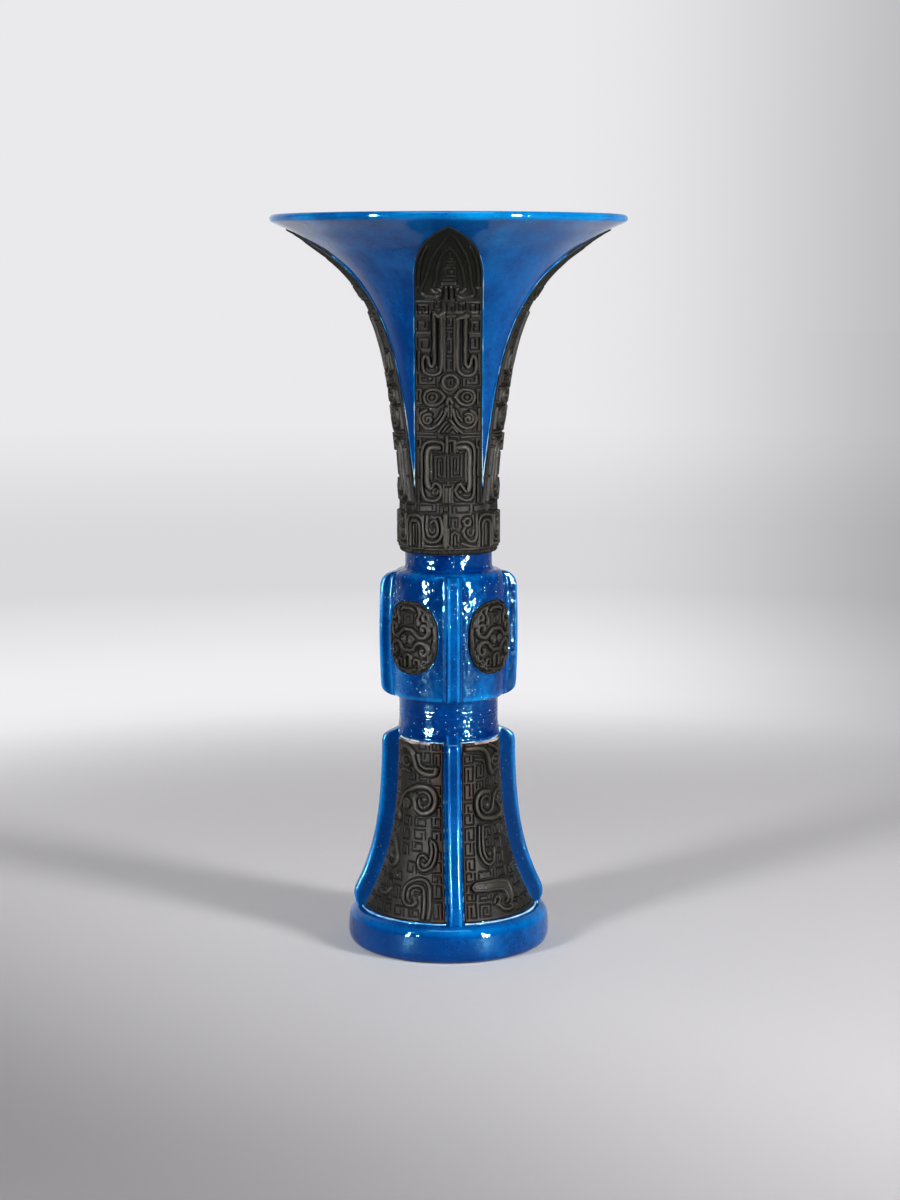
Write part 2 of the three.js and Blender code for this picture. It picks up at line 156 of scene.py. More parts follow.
class Line:
    """A rising line of radius and height, measured along its own length."""

    def __init__(self, points: Array) -> None:
        """Keeps the points, their arc lengths and the normals that point out of the vase.

        Args:
            points: Points of radius and height, one a row.
        """
        self.points = np.asarray(points, float)
        self.arc = lengths_along(self.points)
        along = np.gradient(self.points, self.arc, axis=0)
        self.along = along / np.linalg.norm(along, axis=1)[:, None]
        self.out = np.stack([self.along[:, 1], -self.along[:, 0]], axis=1)

    @property
    def length(self) -> float:
        """Length of the whole line."""
        return float(self.arc[-1])

    def at(self, s: Array | float, lift: Array | float = 0.0) -> tuple[Array, Array]:
        """Radius and height at an arc length, lifted off the line.

        Args:
            s: Arc length; past an end, the line goes on straight.
            lift: Distance along the normal.

        Returns:
            Radius and height.
        """
        held = np.clip(s, 0.0, self.length)
        spare = np.asarray(s) - held
        parts = []
        for axis in (0, 1):
            place = np.interp(held, self.arc, self.points[:, axis])
            run = np.interp(held, self.arc, self.along[:, axis])
            parts.append(place + spare * run + lift * np.interp(held, self.arc, self.out[:, axis]))
        return parts[0], parts[1]

    def offset(self, distance: Array | float) -> "Line":
        """The line moved along its normals."""
        return Line(self.points + self.out * np.broadcast_to(distance, len(self.points))[:, None])

    def arc_at(self, height: float) -> float:
        """Arc length at a height."""
        return float(np.interp(height, self.points[:, 1], self.arc))

    def radius_at(self, height: Array | float) -> Array:
        """Radius at a height."""
        return np.interp(height, self.points[:, 1], self.points[:, 0])

    def out_at(self, s: Array) -> tuple[Array, Array]:
        """The normal's share of radius and of height at an arc length."""
        return np.interp(s, self.arc, self.out[:, 0]), np.interp(s, self.arc, self.out[:, 1])


# Carving


@dataclass(frozen=True)
class PenShape:
    """Width, height and flatness of what a pen leaves, and the depth of the moat beside it."""

    width: float
    height: float
    flat: float
    moat: float = 0.0


class Pen(Enum):
    """Named tools of the relief. A negative height cuts: a line round the ridges, the others through them."""

    SEAM = PenShape(1.0, 0.5, 0.25, 0.3)
    THREAD = PenShape(1.0, 0.36, 0.3, 0.5)
    RIDGE = PenShape(1.35, 0.72, 0.3, 0.6)
    CURL = PenShape(1.8, 0.7, 0.35, 0.7)
    BAND = PenShape(2.2, 0.88, 0.38, 0.65)
    SLAB = PenShape(3.0, 0.4, 0.5, 0.5)
    BOSS = PenShape(2.0, 0.85, 0.15, 0.4)
    LINE = PenShape(0.78, -0.65, 0.42)
    CUT = PenShape(0.72, -0.65, 0.38)
    SLOT = PenShape(0.95, -0.7, 0.35)
    TROUGH = PenShape(1.7, -0.5, 0.15)


@dataclass(frozen=True)
class Stroke:
    """One line of a relief drawing."""

    pen: PenShape
    points: tuple[tuple[float, float], ...]
    soft: bool = False

    def path(self) -> Array:
        """The points that the pen follows."""
        points = np.asarray(self.points, float)
        return soft_path(points) if self.soft and len(points) > 2 else points

    def mirrored(self) -> "Stroke":
        """The stroke on the other side of the upright axis."""
        return replace(self, points=tuple((-x, y) for x, y in self.points))

    def moved(self, shift: float) -> "Stroke":
        """The stroke moved sideways."""
        return replace(self, points=tuple((x + shift, y) for x, y in self.points))


def softs(pen: Pen, *rows: Sequence[float]) -> list[Stroke]:
    """Curved strokes of one pen, each through points given as a flat row of numbers."""
    return [replace(stroke, soft=True) for stroke in straights(pen, *rows)]


def straights(pen: Pen, *rows: Sequence[float]) -> list[Stroke]:
    """Strokes of straight runs of one pen, each through points given as a flat row of numbers."""
    return [Stroke(pen.value, tuple(zip(row[0::2], row[1::2]))) for row in rows]


def ring(x: float, y: float, across: float, up: float | None = None, pen: Pen = Pen.THREAD) -> Stroke:
    """A closed oval ridge round a point.

    Args:
        x: Centre, sideways.
        y: Centre, upwards.
        across: Half width.
        up: Half height, or None for a round one.
        pen: Tool that draws it.

    Returns:
        The stroke.
    """
    turn = np.linspace(0.0, FULL_TURN, 25)
    high = across if up is None else up
    return Stroke(pen.value, tuple(zip(x + across * np.cos(turn), y + high * np.sin(turn))))


def boss(x: float, y: float, radius: float) -> Stroke:
    """A round knob."""
    shape = replace(Pen.BOSS.value, width=2 * radius)
    return Stroke(shape, ((x, y), (x, y)))


def coil(x: float, y: float, inner: float, outer: float, start: float, turns: float,
         pen: Pen = Pen.RIDGE) -> Stroke:
    """A round spiral.

    Args:
        x: Centre, sideways.
        y: Centre, upwards.
        inner: Radius of its inner end.
        outer: Radius of its outer end.
        start: Direction of the inner end in degrees.
        turns: Number of turns, counterclockwise where positive.
        pen: Tool that draws it.

    Returns:
        The stroke.
    """
    steps_a_turn = 26
    share = np.linspace(0.0, 1.0, int(abs(turns) * steps_a_turn) + 2)
    angle = math.radians(start) + share * turns * 2 * math.pi
    radius = inner + (outer - inner) * share
    return Stroke(pen.value, tuple(zip(x + radius * np.cos(angle), y + radius * np.sin(angle))))


def fret(left: float, foot: float, right: float, top: float, flip: bool = False,
         pitch: float = 1.5) -> Stroke:
    """An incised square spiral that winds into its box.

    Args:
        left: Left edge of the box.
        foot: Lower edge of the box.
        right: Right edge of the box.
        top: Upper edge of the box.
        flip: Whether it starts at the upper right corner instead of the lower left one.
        pitch: Distance from one turn to the next.

    Returns:
        The stroke.
    """
    inset, least = Pen.LINE.value.width / 2, 0.55 * pitch
    start, end, low, high = left + inset, right - inset, foot + inset, top - inset
    points = [(start, low)]
    while end - start > least and high - low > least:
        points += [(start, high), (end, high), (end, low)]
        start += pitch
        points.append((min(start, end), low))
        low, end, high = low + pitch, end - pitch, high - pitch
    points.append((points[-1][0], max(high, low)))
    if flip:
        points = [(left + right - x, foot + top - y) for x, y in points]
    return Stroke(Pen.LINE.value, tuple(points))


def each(make: Callable[..., Stroke], *rows: Sequence) -> list[Stroke]:
    """Strokes of one kind, each from its row of values."""
    return [make(*row) for row in rows]


def carve(x: Array, y: Array, strokes: Sequence[Stroke]) -> Array:
    """Raises and cuts a surface along strokes.

    Args:
        x: Sideways place of each point on the drawing.
        y: Upward place of each point on the drawing.
        strokes: The drawing, in any order.

    Returns:
        Height of each point over the face.
    """
    wander, moat_width, ridge_foot, deepest = 0.11, 0.6, 0.16, 0.75
    across = (x + wander * ripple(x, y, 3.1, 5)).ravel()
    up = (y + wander * ripple(x, y, 2.7, 9)).ravel()
    raised, sunk, cut = np.zeros_like(across), np.zeros_like(across), np.zeros_like(across)
    for stroke in strokes:
        pen, path, half = stroke.pen, stroke.path(), stroke.pen.width / 2
        reach = half + (moat_width if pen.moat else 0.0)
        low, high = path.min(axis=0) - reach, path.max(axis=0) + reach
        near = np.flatnonzero((across > low[0]) & (across < high[0]) & (up > low[1]) & (up < high[1]))
        if not len(near):
            continue
        px, py = across[near], up[near]
        best = np.full(len(near), reach * reach)
        for (ax, ay), (bx, by) in zip(path[:-1], path[1:]):
            dx, dy = bx - ax, by - ay
            share = np.clip(((px - ax) * dx + (py - ay) * dy) / max(dx * dx + dy * dy, 1e-9), 0.0, 1.0)
            np.minimum(best, (px - ax - share * dx) ** 2 + (py - ay - share * dy) ** 2, out=best)
        away = np.sqrt(best)
        fall = np.clip((away / half - pen.flat) / (1 - pen.flat), 0.0, 1.0)
        rise = pen.height * (0.5 + 0.5 * np.cos(math.pi * fall))
        if pen.height > 0:
            raised[near] = np.maximum(raised[near], rise)
            beside = (away - half) / moat_width
            moat = -pen.moat * ease(beside / 0.3 + 0.3) * ease((1 - beside) / 0.45)
            sunk[near] = np.minimum(sunk[near], moat)
        elif pen == Pen.LINE.value:
            sunk[near] = np.minimum(sunk[near], rise)
        else:
            cut[near] = np.minimum(cut[near], rise)
    height = raised + sunk * (1 - np.clip(raised / ridge_foot, 0.0, 1.0))
    height = np.where(cut < 0, np.maximum(height + cut, -deepest), height)
    return height.reshape(x.shape)


# Meshes


def spun(profile: Array, steps: int) -> BMesh:
    """Spins a closed profile round the vase's axis.

    Args:
        profile: Points of radius and height in order; the last one joins the first.
        steps: Number of steps of the full turn.

    Returns:
        The closed mesh, with its faces pointing out.
    """
    bm = bmesh.new()
    verts = [bm.verts.new((r, 0.0, z)) for r, z in profile]
    edges = [bm.edges.new((a, b)) for a, b in zip(verts, verts[1:] + verts[:1])]
    bmesh.ops.spin(bm, geom=[*verts, *edges], cent=(0, 0, 0), axis=(0, 0, 1), angle=FULL_TURN,
                   steps=steps, use_merge=True)
    bmesh.ops.remove_doubles(bm, verts=bm.verts, dist=SEAM_DISTANCE)
    bmesh.ops.recalc_face_normals(bm, faces=bm.faces)
    return bm


def laid_grid(bm: BMesh, places: Array) -> list[BMVert]:
    """Lays a grid of faces over places.

    Args:
        bm: Mesh that takes the grid.
        places: Points by row, column and axis.

    Returns:
        The grid's vertices, row by row.
    """
    rows, columns = places.shape[:2]
    verts = bmesh.ops.create_grid(bm, x_segments=columns - 1, y_segments=rows - 1, size=1.0)["verts"]
    for vert, place in zip(verts, places.reshape(-1, 3).tolist()):
        vert.co = place
    return verts


def border_edges(bm: BMesh) -> list[BMEdge]:
    """The edges that have only one face."""
    return [edge for edge in bm.edges if edge.is_boundary]


def closed_patch(places: Array, body: Line, depth: float, cuts: int) -> BMesh:
    """Closes a patch that lies on the vase with a back inside the wall.

    Args:
        places: Points of the patch by row, column and axis; its border lies inside the wall.
        body: The outside of the body under the patch.
        depth: How far the back lies under the body's outside.
        cuts: Number of cuts across the back.

    Returns:
        The closed mesh. The patch's own vertices come first.
    """
    bm = bmesh.new()
    columns = places.shape[1]
    laid_grid(bm, places)
    bm.verts.index_update()
    sides: list[BMEdge] = []
    for edge in bm.edges:
        place = {vert.index % columns for vert in edge.verts}
        if place in ({0}, {columns - 1}):
            sides.append(edge)
    bridge = bmesh.ops.bridge_loops(bm, edges=sides)
    made = bmesh.ops.subdivide_edges(bm, edges=bridge["edges"], cuts=cuts)
    for vert in (part for part in made["geom_inner"] if isinstance(part, BMVert)):
        back = float(body.radius_at(vert.co.z)) - depth
        scale = back / max(math.hypot(vert.co.x, vert.co.y), 1e-6)
        vert.co.x *= scale
        vert.co.y *= scale
    bmesh.ops.holes_fill(bm, edges=border_edges(bm), sides=0)
    bmesh.ops.recalc_face_normals(bm, faces=bm.faces)
    return bm


def add_roll(bm: BMesh, path: Array, out: Array, radius: float, closed: bool,
             seed: int) -> None:
    """Adds a thin uneven roll of glaze along a path.

    Args:
        bm: Mesh that takes the roll.
        path: Points of its middle, one a row.
        out: Directions out of the surface at those points.
        radius: Mean radius of the roll.
        closed: Whether the path's end meets its start.
        seed: Seed of its unevenness.
    """
    if closed:
        path, out = np.vstack([path, path[:1]]), np.vstack([out, out[:1]])
    along = np.gradient(path, axis=0)
    if closed:
        along[0] = along[-1] = along[0] + along[-1]
    aside = np.cross(along, out)
    aside /= np.linalg.norm(aside, axis=1)[:, None]
    arc = lengths_along(path)
    size = radius * (1.0 + 0.28 * ripple(arc, np.zeros_like(arc), 2.3, seed))
    if closed:
        size[-1] = size[0]
    turn = np.linspace(0.0, FULL_TURN, 9)
    ring_part = np.cos(turn)[None, :, None] * out[:, None] + np.sin(turn)[None, :, None] * aside[:, None]
    verts = laid_grid(bm, path[:, None] + ring_part * size[:, None, None])
    bmesh.ops.remove_doubles(bm, verts=verts, dist=1e-5)
    bmesh.ops.holes_fill(bm, edges=border_edges(bm), sides=0)


def quarter_turns() -> list[Array]:
    """Four turns about the vase's axis, for points that stand in rows."""
    return [np.array(Matrix.Rotation(i * QUARTER, 3, "Z")).T for i in range(4)]


def weld(mesh: Mesh) -> None:
    """Joins points that lie on each other, so that no face is without an area.

    Args:
        mesh: The mesh, in metres.
    """
    bm = bmesh.new()
    bm.from_mesh(mesh)
    bmesh.ops.remove_doubles(bm, verts=bm.verts, dist=WELD_DISTANCE)
    bm.to_mesh(mesh)
    bm.free()


@dataclass
class Piece:
    """A finished piece of the vase and the solid that it stands for."""

    name: str
    mesh: Mesh
    slot: str

    def place(self, material: Material) -> None:
        """Puts the piece into the scene on its body.

        Args:
            material: The finish of the piece's slot.
        """
        weld(self.mesh)
        self.mesh.materials.append(material)
        thing = bpy.data.objects.new(f"{self.name}_look", self.mesh)
        bpy.context.scene.collection.objects.link(thing)
        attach(thing, "root")
        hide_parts(self.name)
        log.info("%s: %d faces", thing.name, len(self.mesh.polygons))


def mesh_of(name: str, bm: BMesh, turn: float = 0.0, crease: float | None = 50.0) -> Mesh:
    """Makes a mesh in metres from a mesh in millimetres.

    Args:
        name: Name of the mesh.
        bm: The mesh in millimetres; it is freed.
        turn: Turn about the vase's axis, in radians.
        crease: Angle in degrees from which an edge stays sharp, or None for none.

    Returns:
        The mesh.
    """
    bmesh.ops.transform(bm, matrix=Matrix.Rotation(turn, 4, "Z") @ Matrix.Scale(MM, 4), verts=bm.verts)
    mesh = bpy.data.meshes.new(name)
    bm.to_mesh(mesh)
    bm.free()
    mesh.shade_smooth()
    if crease is not None:
        mesh.set_sharp_from_angle(angle=math.radians(crease))
    return mesh


def set_value(mesh: Mesh, name: str, values: Array) -> None:
    """Stores a value for each vertex.

    Args:
        mesh: Mesh that takes the values.
        name: Name that a material reads them by.
        values: The values; vertices past the end of the row get the last one.
    """
    full = np.full(len(mesh.vertices), float(values.flat[-1]), np.float32)
    full[:values.size] = values.ravel()
    mesh.attributes.new(name, "FLOAT", "POINT").data.foreach_set("value", full)


def places_of(mesh: Mesh) -> tuple[Array, Array, Array, Array]:
    """All vertices of a mesh, in millimetres.

    Args:
        mesh: The mesh, in metres.

    Returns:
        Their places sideways, forwards and up, and their distances from the vase's axis.
    """
    flat = np.empty(3 * len(mesh.vertices), np.float32)
    mesh.vertices.foreach_get("co", flat)
    x, y, z = (flat.reshape(-1, 3) / MM).T
    return x, y, z, np.hypot(x, y)


def turned_copies(mesh: Mesh, name: str, places: dict[str, int], slot: str) -> list[Piece]:
    """Copies of a mesh, turned about the vase's axis.

    Args:
        mesh: The mesh on its first side or corner.
        name: What the pieces' names start with.
        places: What the names end with, and the turn of each in quarters.
        slot: Slot of the pieces.

    Returns:
        The pieces.
    """
    pieces = []
    for place, quarters in places.items():
        copy = mesh.copy()
        copy.name = f"{name}_{place}"
        copy.transform(Matrix.Rotation(quarters * QUARTER, 4, "Z"))
        pieces.append(Piece(f"{name}_{place}", copy, slot))
    return pieces


# Finishes


def tint(red: int, green: int, blue: int) -> tuple[float, float, float, float]:
    """A colour given as display values from 0 to 255, as the linear values that nodes take."""
    shown = (red / 255, green / 255, blue / 255)
    return (*(v / 12.92 if v <= 0.04045 else ((v + 0.055) / 1.055) ** 2.4 for v in shown), 1.0)


class Graph:
    """A node tree under construction."""

    def __init__(self, tree: NodeTree) -> None:
        """Keeps an emptied tree."""
        self.tree = tree
        tree.nodes.clear()

    def add(self, kind: str, inputs: dict | None = None, **settings: object) -> Node:
        """Adds a node.

        Args:
            kind: The node's type name.
            inputs: Socket values or links, by socket name or number.
            settings: The node's own settings.

        Returns:
            The node.
        """
        node = self.tree.nodes.new(kind)
        for key, value in settings.items():
            setattr(node, key, value)
        for key, value in (inputs or {}).items():
            if isinstance(value, Socket):
                self.tree.links.new(value, node.inputs[key])
            else:
                node.inputs[key].default_value = value
        return node

    def group(self, tree: NodeTree, inputs: dict[str, float]) -> bpy.types.bpy_prop_collection:
        """Adds a group with its input values and returns its outputs."""
        return self.add("ShaderNodeGroup", inputs, node_tree=tree).outputs

    def place(self) -> Socket:
        """Adds the place in Object coordinates."""
        return self.add("ShaderNodeTexCoord").outputs["Object"]

    def stored(self, name: str) -> Socket:
        """Adds a value that the mesh keeps for each vertex."""
        return self.add("ShaderNodeAttribute", attribute_name=name).outputs["Fac"]

    def math(self, operation: str, *values: object) -> Socket:
        """Adds a Math node and returns its output."""
        return self.add("ShaderNodeMath", dict(enumerate(values)), operation=operation).outputs[0]

    def scaled(self, value: object, factor: float, shift: float) -> Socket:
        """Adds a value times a factor plus a shift."""
        return self.math("MULTIPLY_ADD", value, factor, shift)

    def times(self, value: object, factor: object) -> Socket:
        """Adds a product."""
        return self.math("MULTIPLY", value, factor)

    def blend(self, share: object, low: object, high: object) -> Socket:
        """Adds a colour Mix node and returns its output."""
        return self.add("ShaderNodeMix", {0: share, 6: low, 7: high}, data_type="RGBA").outputs[2]

    def span(self, value: object, low: float, high: float, start: float = 0.0,
             end: float = 1.0) -> Socket:
        """Adds a clamped smooth Map Range node and returns its output."""
        return self.add("ShaderNodeMapRange", {0: value, 1: low, 2: high, 3: start, 4: end},
                        interpolation_type="SMOOTHSTEP").outputs[0]

    def ramp(self, value: Socket, stops: Sequence[tuple[float, Colour]]) -> Socket:
        """Adds a Color Ramp node.

        Args:
            value: What runs along the ramp.
            stops: Place and colour of each stop.

        Returns:
            The node's colour.
        """
        node = self.add("ShaderNodeValToRGB", {0: value})
        elements = node.color_ramp.elements
        while len(elements) < len(stops):
            elements.new(0.5)
        for element, (place, colour) in zip(elements, stops):
            element.position = place
            element.color = tint(*colour)
        return node.outputs[0]

    def bump(self, strength: float, distance: float, height: Socket,
             under: Socket | None = None, sunk: bool = False) -> Socket:
        """Adds a Bump node.

        Args:
            strength: Strength of the bump.
            distance: Height of a full bump in metres.
            height: Height that changes over the surface.
            under: The normal that the bump lies on, or None for the mesh's own.
            sunk: Whether the height goes down.

        Returns:
            The bumped normal.
        """
        inputs = {"Strength": strength, "Distance": distance, "Height": height}
        if under is not None:
            inputs["Normal"] = under
        return self.add("ShaderNodeBump", inputs, invert=sunk).outputs[0]

    def shade(self, inputs: dict) -> None:
        """Ends a material with a Principled shader."""
        shader = self.add("ShaderNodeBsdfPrincipled", inputs)
        self.add("ShaderNodeOutputMaterial", {0: shader.outputs[0]})

    def shine(self) -> tuple[Socket, Socket]:
        """Adds the Light Path, as the camera's rays and the mirrored and bent ones."""
        path = self.add("ShaderNodeLightPath").outputs
        return path["Is Camera Ray"], self.math("MAXIMUM", path["Is Glossy Ray"], path["Is Transmission Ray"])


def new_material(name: str) -> tuple[Material, Graph]:
    """Starts a material with an empty graph."""
    material = bpy.data.materials.new(name)
    material.use_nodes = True
    return material, Graph(material.node_tree)


def new_group(name: str, inputs: dict[str, float], outputs: Sequence[str]) -> tuple[NodeTree, Graph]:
    """Starts a shader node group.

    Args:
        name: Name of the group.
        inputs: Its number inputs and their values.
        outputs: Names of its number outputs.

    Returns:
        The group and its empty graph.
    """
    group = bpy.data.node_groups.new(name, "ShaderNodeTree")
    for label, value in inputs.items():
        group.interface.new_socket(label, in_out="INPUT", socket_type="NodeSocketFloat").default_value = value
    for label in outputs:
        group.interface.new_socket(label, in_out="OUTPUT", socket_type="NodeSocketFloat")
    return group, Graph(group)


class SharedEffects:
    """Effects that more than one finish uses."""

    def __init__(self) -> None:
        """Builds the groups once."""
        self.pits = self.build_pits()
        self.mottle = self.build_mottle()

    def build_pits(self) -> NodeTree:
        """Pinholes: small round pits that stand in loose clusters.

        Returns:
            The group, with the pit mask as Pits and the clusters as Clusters.
        """
        group, graph = new_group("Pinholes", {"Scale": 900.0, "Amount": 0.5}, ("Pits", "Clusters"))
        enter, place = graph.add("NodeGroupInput").outputs, graph.place()
        cells = graph.add("ShaderNodeTexVoronoi", {"Vector": place, "Scale": enter["Scale"]}).outputs
        pick = graph.add("ShaderNodeSeparateColor", {0: cells["Color"]}).outputs[0]
        cloud = graph.add("ShaderNodeTexNoise", {"Vector": place, "Scale": 85.0, "Detail": 3.0}).outputs[0]
        chance = graph.times(enter["Amount"], graph.span(cloud, 0.36, 0.66, 0.15, 1.0))
        chosen = graph.math("LESS_THAN", pick, chance)
        size = graph.scaled(pick, 0.2, 0.17)
        depth = graph.math("SUBTRACT", 1.0, graph.math("DIVIDE", cells["Distance"], size))
        pits = graph.times(chosen, graph.span(depth, 0.0, 0.5))
        graph.add("NodeGroupOutput", {"Pits": pits, "Clusters": cloud})
        return group

    def build_mottle(self) -> NodeTree:
        """Cloudy unevenness at three scales.

        Returns:
            The group, with broad clouds drawn out upwards as Broad, smooth waves as Wave and grain as Fine.
        """
        scales = {"Broad Scale": 60.0, "Wave Scale": 150.0, "Fine Scale": 700.0}
        group, graph = new_group("Mottle", scales, ("Broad", "Wave", "Fine"))
        enter, place = graph.add("NodeGroupInput").outputs, graph.place()
        drawn_out = {0: place, 1: (1.0, 1.0, 0.45)}
        drawn = graph.add("ShaderNodeVectorMath", drawn_out, operation="MULTIPLY").outputs[0]
        outs = {}
        for label, detail, spot in (("Broad", 2.0, drawn), ("Wave", 0.6, place), ("Fine", 2.0, place)):
            noise = {"Vector": spot, "Scale": enter[f"{label} Scale"], "Detail": detail, "Roughness": 0.55}
            outs[label] = graph.add("ShaderNodeTexNoise", noise).outputs[0]
        graph.add("NodeGroupOutput", outs)
        return group


@dataclass(frozen=True)
class GlazeFinish:
    """A thick glossy peacock glaze: deep where it pools, pale blue where it runs thin, and paler where light
    is painted into it.
    """

    pool: Colour = (0, 27, 88)
    body: Colour = (0, 50, 114)
    bright: Colour = (0, 88, 160)
    thin_and_lit: Colour = (2, 138, 212)
    # The pale film of thin glaze, and also the white of painted glints on the rolls.
    film_and_glint: Colour = (196, 222, 224)
    # Near white of the specks: pinholes in the glaze and painted glints.
    bubble_and_glint: Colour = (206, 240, 252)
    pinhole: Colour = (0, 20, 72)

    def build(self, effects: SharedEffects) -> Material:
        """Builds the glaze from the shared effects.

        Args:
            effects: The node groups for pinholes and mottle.

        Returns:
            The material.
        """
        material, graph = new_material(GLAZE)
        pits = graph.group(effects.pits, {"Scale": 720.0, "Amount": 0.7})["Pits"]
        # Partly pinholes that show the pale body, partly painted glints: near-white specks in clusters, fewer
        # on calm glaze.
        bare_and_glint_specks = graph.group(effects.pits, {"Scale": 900.0, "Amount": 0.34})["Pits"]
        dimples = graph.group(effects.pits, {"Scale": 680.0, "Amount": 1.0})["Pits"]
        mottle = graph.group(effects.mottle, {"Broad Scale": 75.0, "Wave Scale": 420.0, "Fine Scale": 520.0})
        # The stored value is the glaze's thinness plus painted light: lit sides, painted sheen and painted
        # glints on some pieces.
        coat_and_light, calm = graph.stored("thin_and_lit"), graph.stored("calm")
        lively, cloudy = graph.scaled(calm, -0.85, 1.0), graph.scaled(calm, -0.55, 1.0)
        sway, grain = graph.scaled(mottle["Broad"], 0.9, -0.45), graph.scaled(mottle["Fine"], 0.36, -0.18)
        level = graph.math("ADD", coat_and_light, graph.times(graph.math("ADD", sway, grain), cloudy))
        glaze = graph.ramp(level, ((0.0, self.pool), (0.3, self.body), (0.5, self.bright), (0.76, self.thin_and_lit),
                                   (1.0, self.film_and_glint)))
        dotted = graph.blend(graph.times(pits, 0.8), glaze, tint(*self.pinhole))
        specks_and_glints = graph.times(bare_and_glint_specks, graph.times(lively, lively))
        colour = graph.blend(specks_and_glints, dotted, tint(*self.bubble_and_glint))
        wave = graph.bump(0.5, 0.0008, graph.times(mottle["Wave"], lively))
        peel = graph.scaled(dimples, -0.8, mottle["Fine"])
        swell = graph.bump(0.4, 0.0002, graph.times(peel, lively), wave)
        holes = graph.bump(0.8, 0.0001, graph.times(pits, lively), swell, True)
        graph.shade({"Base Color": colour, "Roughness": graph.scaled(mottle["Fine"], 0.02, 0.012),
                     "Normal": holes, "Specular IOR Level": 0.25, "Specular Tint": (0.26, 0.8, 1.0, 1.0)})
        return material


@dataclass(frozen=True)
class BiscuitFinish:
    """Dark unglazed relief: near black in the ground, grey brown and a little polished on the ridges."""

    ground: Colour = (4, 4, 3)
    face: Colour = (31, 29, 25)
    ridge: Colour = (62, 59, 53)
    rust: Colour = (66, 44, 33)
    moss: Colour = (21, 23, 17)
    film_and_glint: Colour = (186, 164, 154)

    def build(self, effects: SharedEffects) -> Material:
        """Builds the biscuit from the shared effects.

        Args:
            effects: The node groups for pinholes and mottle.

        Returns:
            The material.
        """
        material, graph = new_material(BISCUIT)
        pits = graph.group(effects.pits, {"Scale": 1300.0, "Amount": 0.35})["Pits"]
        mottle = graph.group(effects.mottle, {"Broad Scale": 95.0, "Fine Scale": 1500.0})
        # The stored relief also carries painted shade: darker plate walls and a darker tone on the bulb's and
        # foot's plates.
        relief, warm = graph.stored("relief"), graph.stored("warm")
        sway, grain = graph.scaled(mottle["Broad"], 0.5, -0.25), graph.scaled(mottle["Fine"], 0.3, -0.15)
        level = graph.math("ADD", graph.math("ADD", relief, sway), grain)
        plain = graph.ramp(level, ((0.0, self.ground), (0.5, self.face), (1.0, self.ridge)))
        rust = graph.times(graph.span(warm, 0.0, 1.0), graph.span(level, 0.1, 0.6, 0.1, 0.8))
        reddened = graph.blend(rust, plain, tint(*self.rust))
        moss = graph.times(graph.span(graph.times(warm, -1.0), 0.0, 1.0), 0.75)
        greened = graph.blend(moss, reddened, tint(*self.moss))
        filmed = graph.times(graph.span(warm, 1.4, 2.2), graph.span(mottle["Wave"], 0.35, 0.6))
        dusty = graph.blend(filmed, greened, tint(*self.film_and_glint))
        # Painted glints: a few pale specks on the biscuit stand in for glints.
        painted_glint_specks = graph.group(effects.pits, {"Scale": 760.0, "Amount": 0.05})["Pits"]
        colour = graph.blend(graph.times(painted_glint_specks, 0.8), dusty, tint(*self.film_and_glint))
        rough = graph.scaled(relief, -0.2, graph.scaled(mottle["Fine"], 0.2, 0.5))
        swell = graph.bump(0.3, 0.0005, mottle["Fine"])
        holes = graph.bump(0.5, 0.0003, pits, swell, True)
        graph.shade({"Base Color": colour, "Roughness": rough, "Normal": holes, "Specular IOR Level": 0.035})
        return material


@dataclass(frozen=True)
class ClayFinish:
    """Bare fired clay with iron specks, under the foot."""

    clay: Colour = (186, 170, 142)
    stain: Colour = (150, 122, 92)
    speck: Colour = (84, 62, 46)

    def build(self, effects: SharedEffects) -> Material:
        """Builds the clay from the shared effects.

        Args:
            effects: The node groups for pinholes and mottle.

        Returns:
            The material.
        """
        material, graph = new_material(CLAY)
        pits = graph.group(effects.pits, {"Scale": 700.0})["Pits"]
        mottle = graph.group(effects.mottle, {})
        colour = graph.blend(graph.span(mottle["Broad"], 0.3, 0.75), tint(*self.clay), tint(*self.stain))
        specked = graph.blend(graph.times(pits, 0.8), colour, tint(*self.speck))
        swell = graph.bump(0.4, 0.0005, mottle["Fine"])
        graph.shade({"Base Color": specked, "Roughness": graph.scaled(mottle["Fine"], 0.15, 0.74),
                     "Normal": swell})
        return material


# Sub-assemblies


@dataclass
class Heights:
    """Levels that the sub-assemblies share, from the resting face up."""

    ring_top: float = 14.0
    bell_foot: float = 14.3
    bell_top: float = 82.0
    waist_joint: float = 89.5
    bulb_foot: float = 97.0
    bulb_top: float = 146.2
    collar_foot: float = 153.0
    blade_foot: float = 172.5
    lip_top: float = 280.0


def around(radius: Array, angle: Array, height: Array) -> Array:
    """Points at a radius and a height, at an angle from the front towards the right.

    Args:
        radius: Distances from the axis.
        angle: Angles in radians.
        height: Heights.

    Returns:
        The points, with the axes last.
    """
    return np.stack(np.broadcast_arrays(radius * np.sin(angle), -radius * np.cos(angle), height), axis=-1)


def bordered(count: int) -> Array:
    """Shares from 0 to 1 whose first and last stand twice, for a wall round a patch."""
    return np.concatenate([[0.0], np.linspace(0.0, 1.0, count - 2), [1.0]])


def proud(radius: Array, skin: Array) -> Array:
    """The share of a roll of glaze in points, from how far they stand off a body's skin."""
    return ease((radius - skin - 0.12) / 0.2)


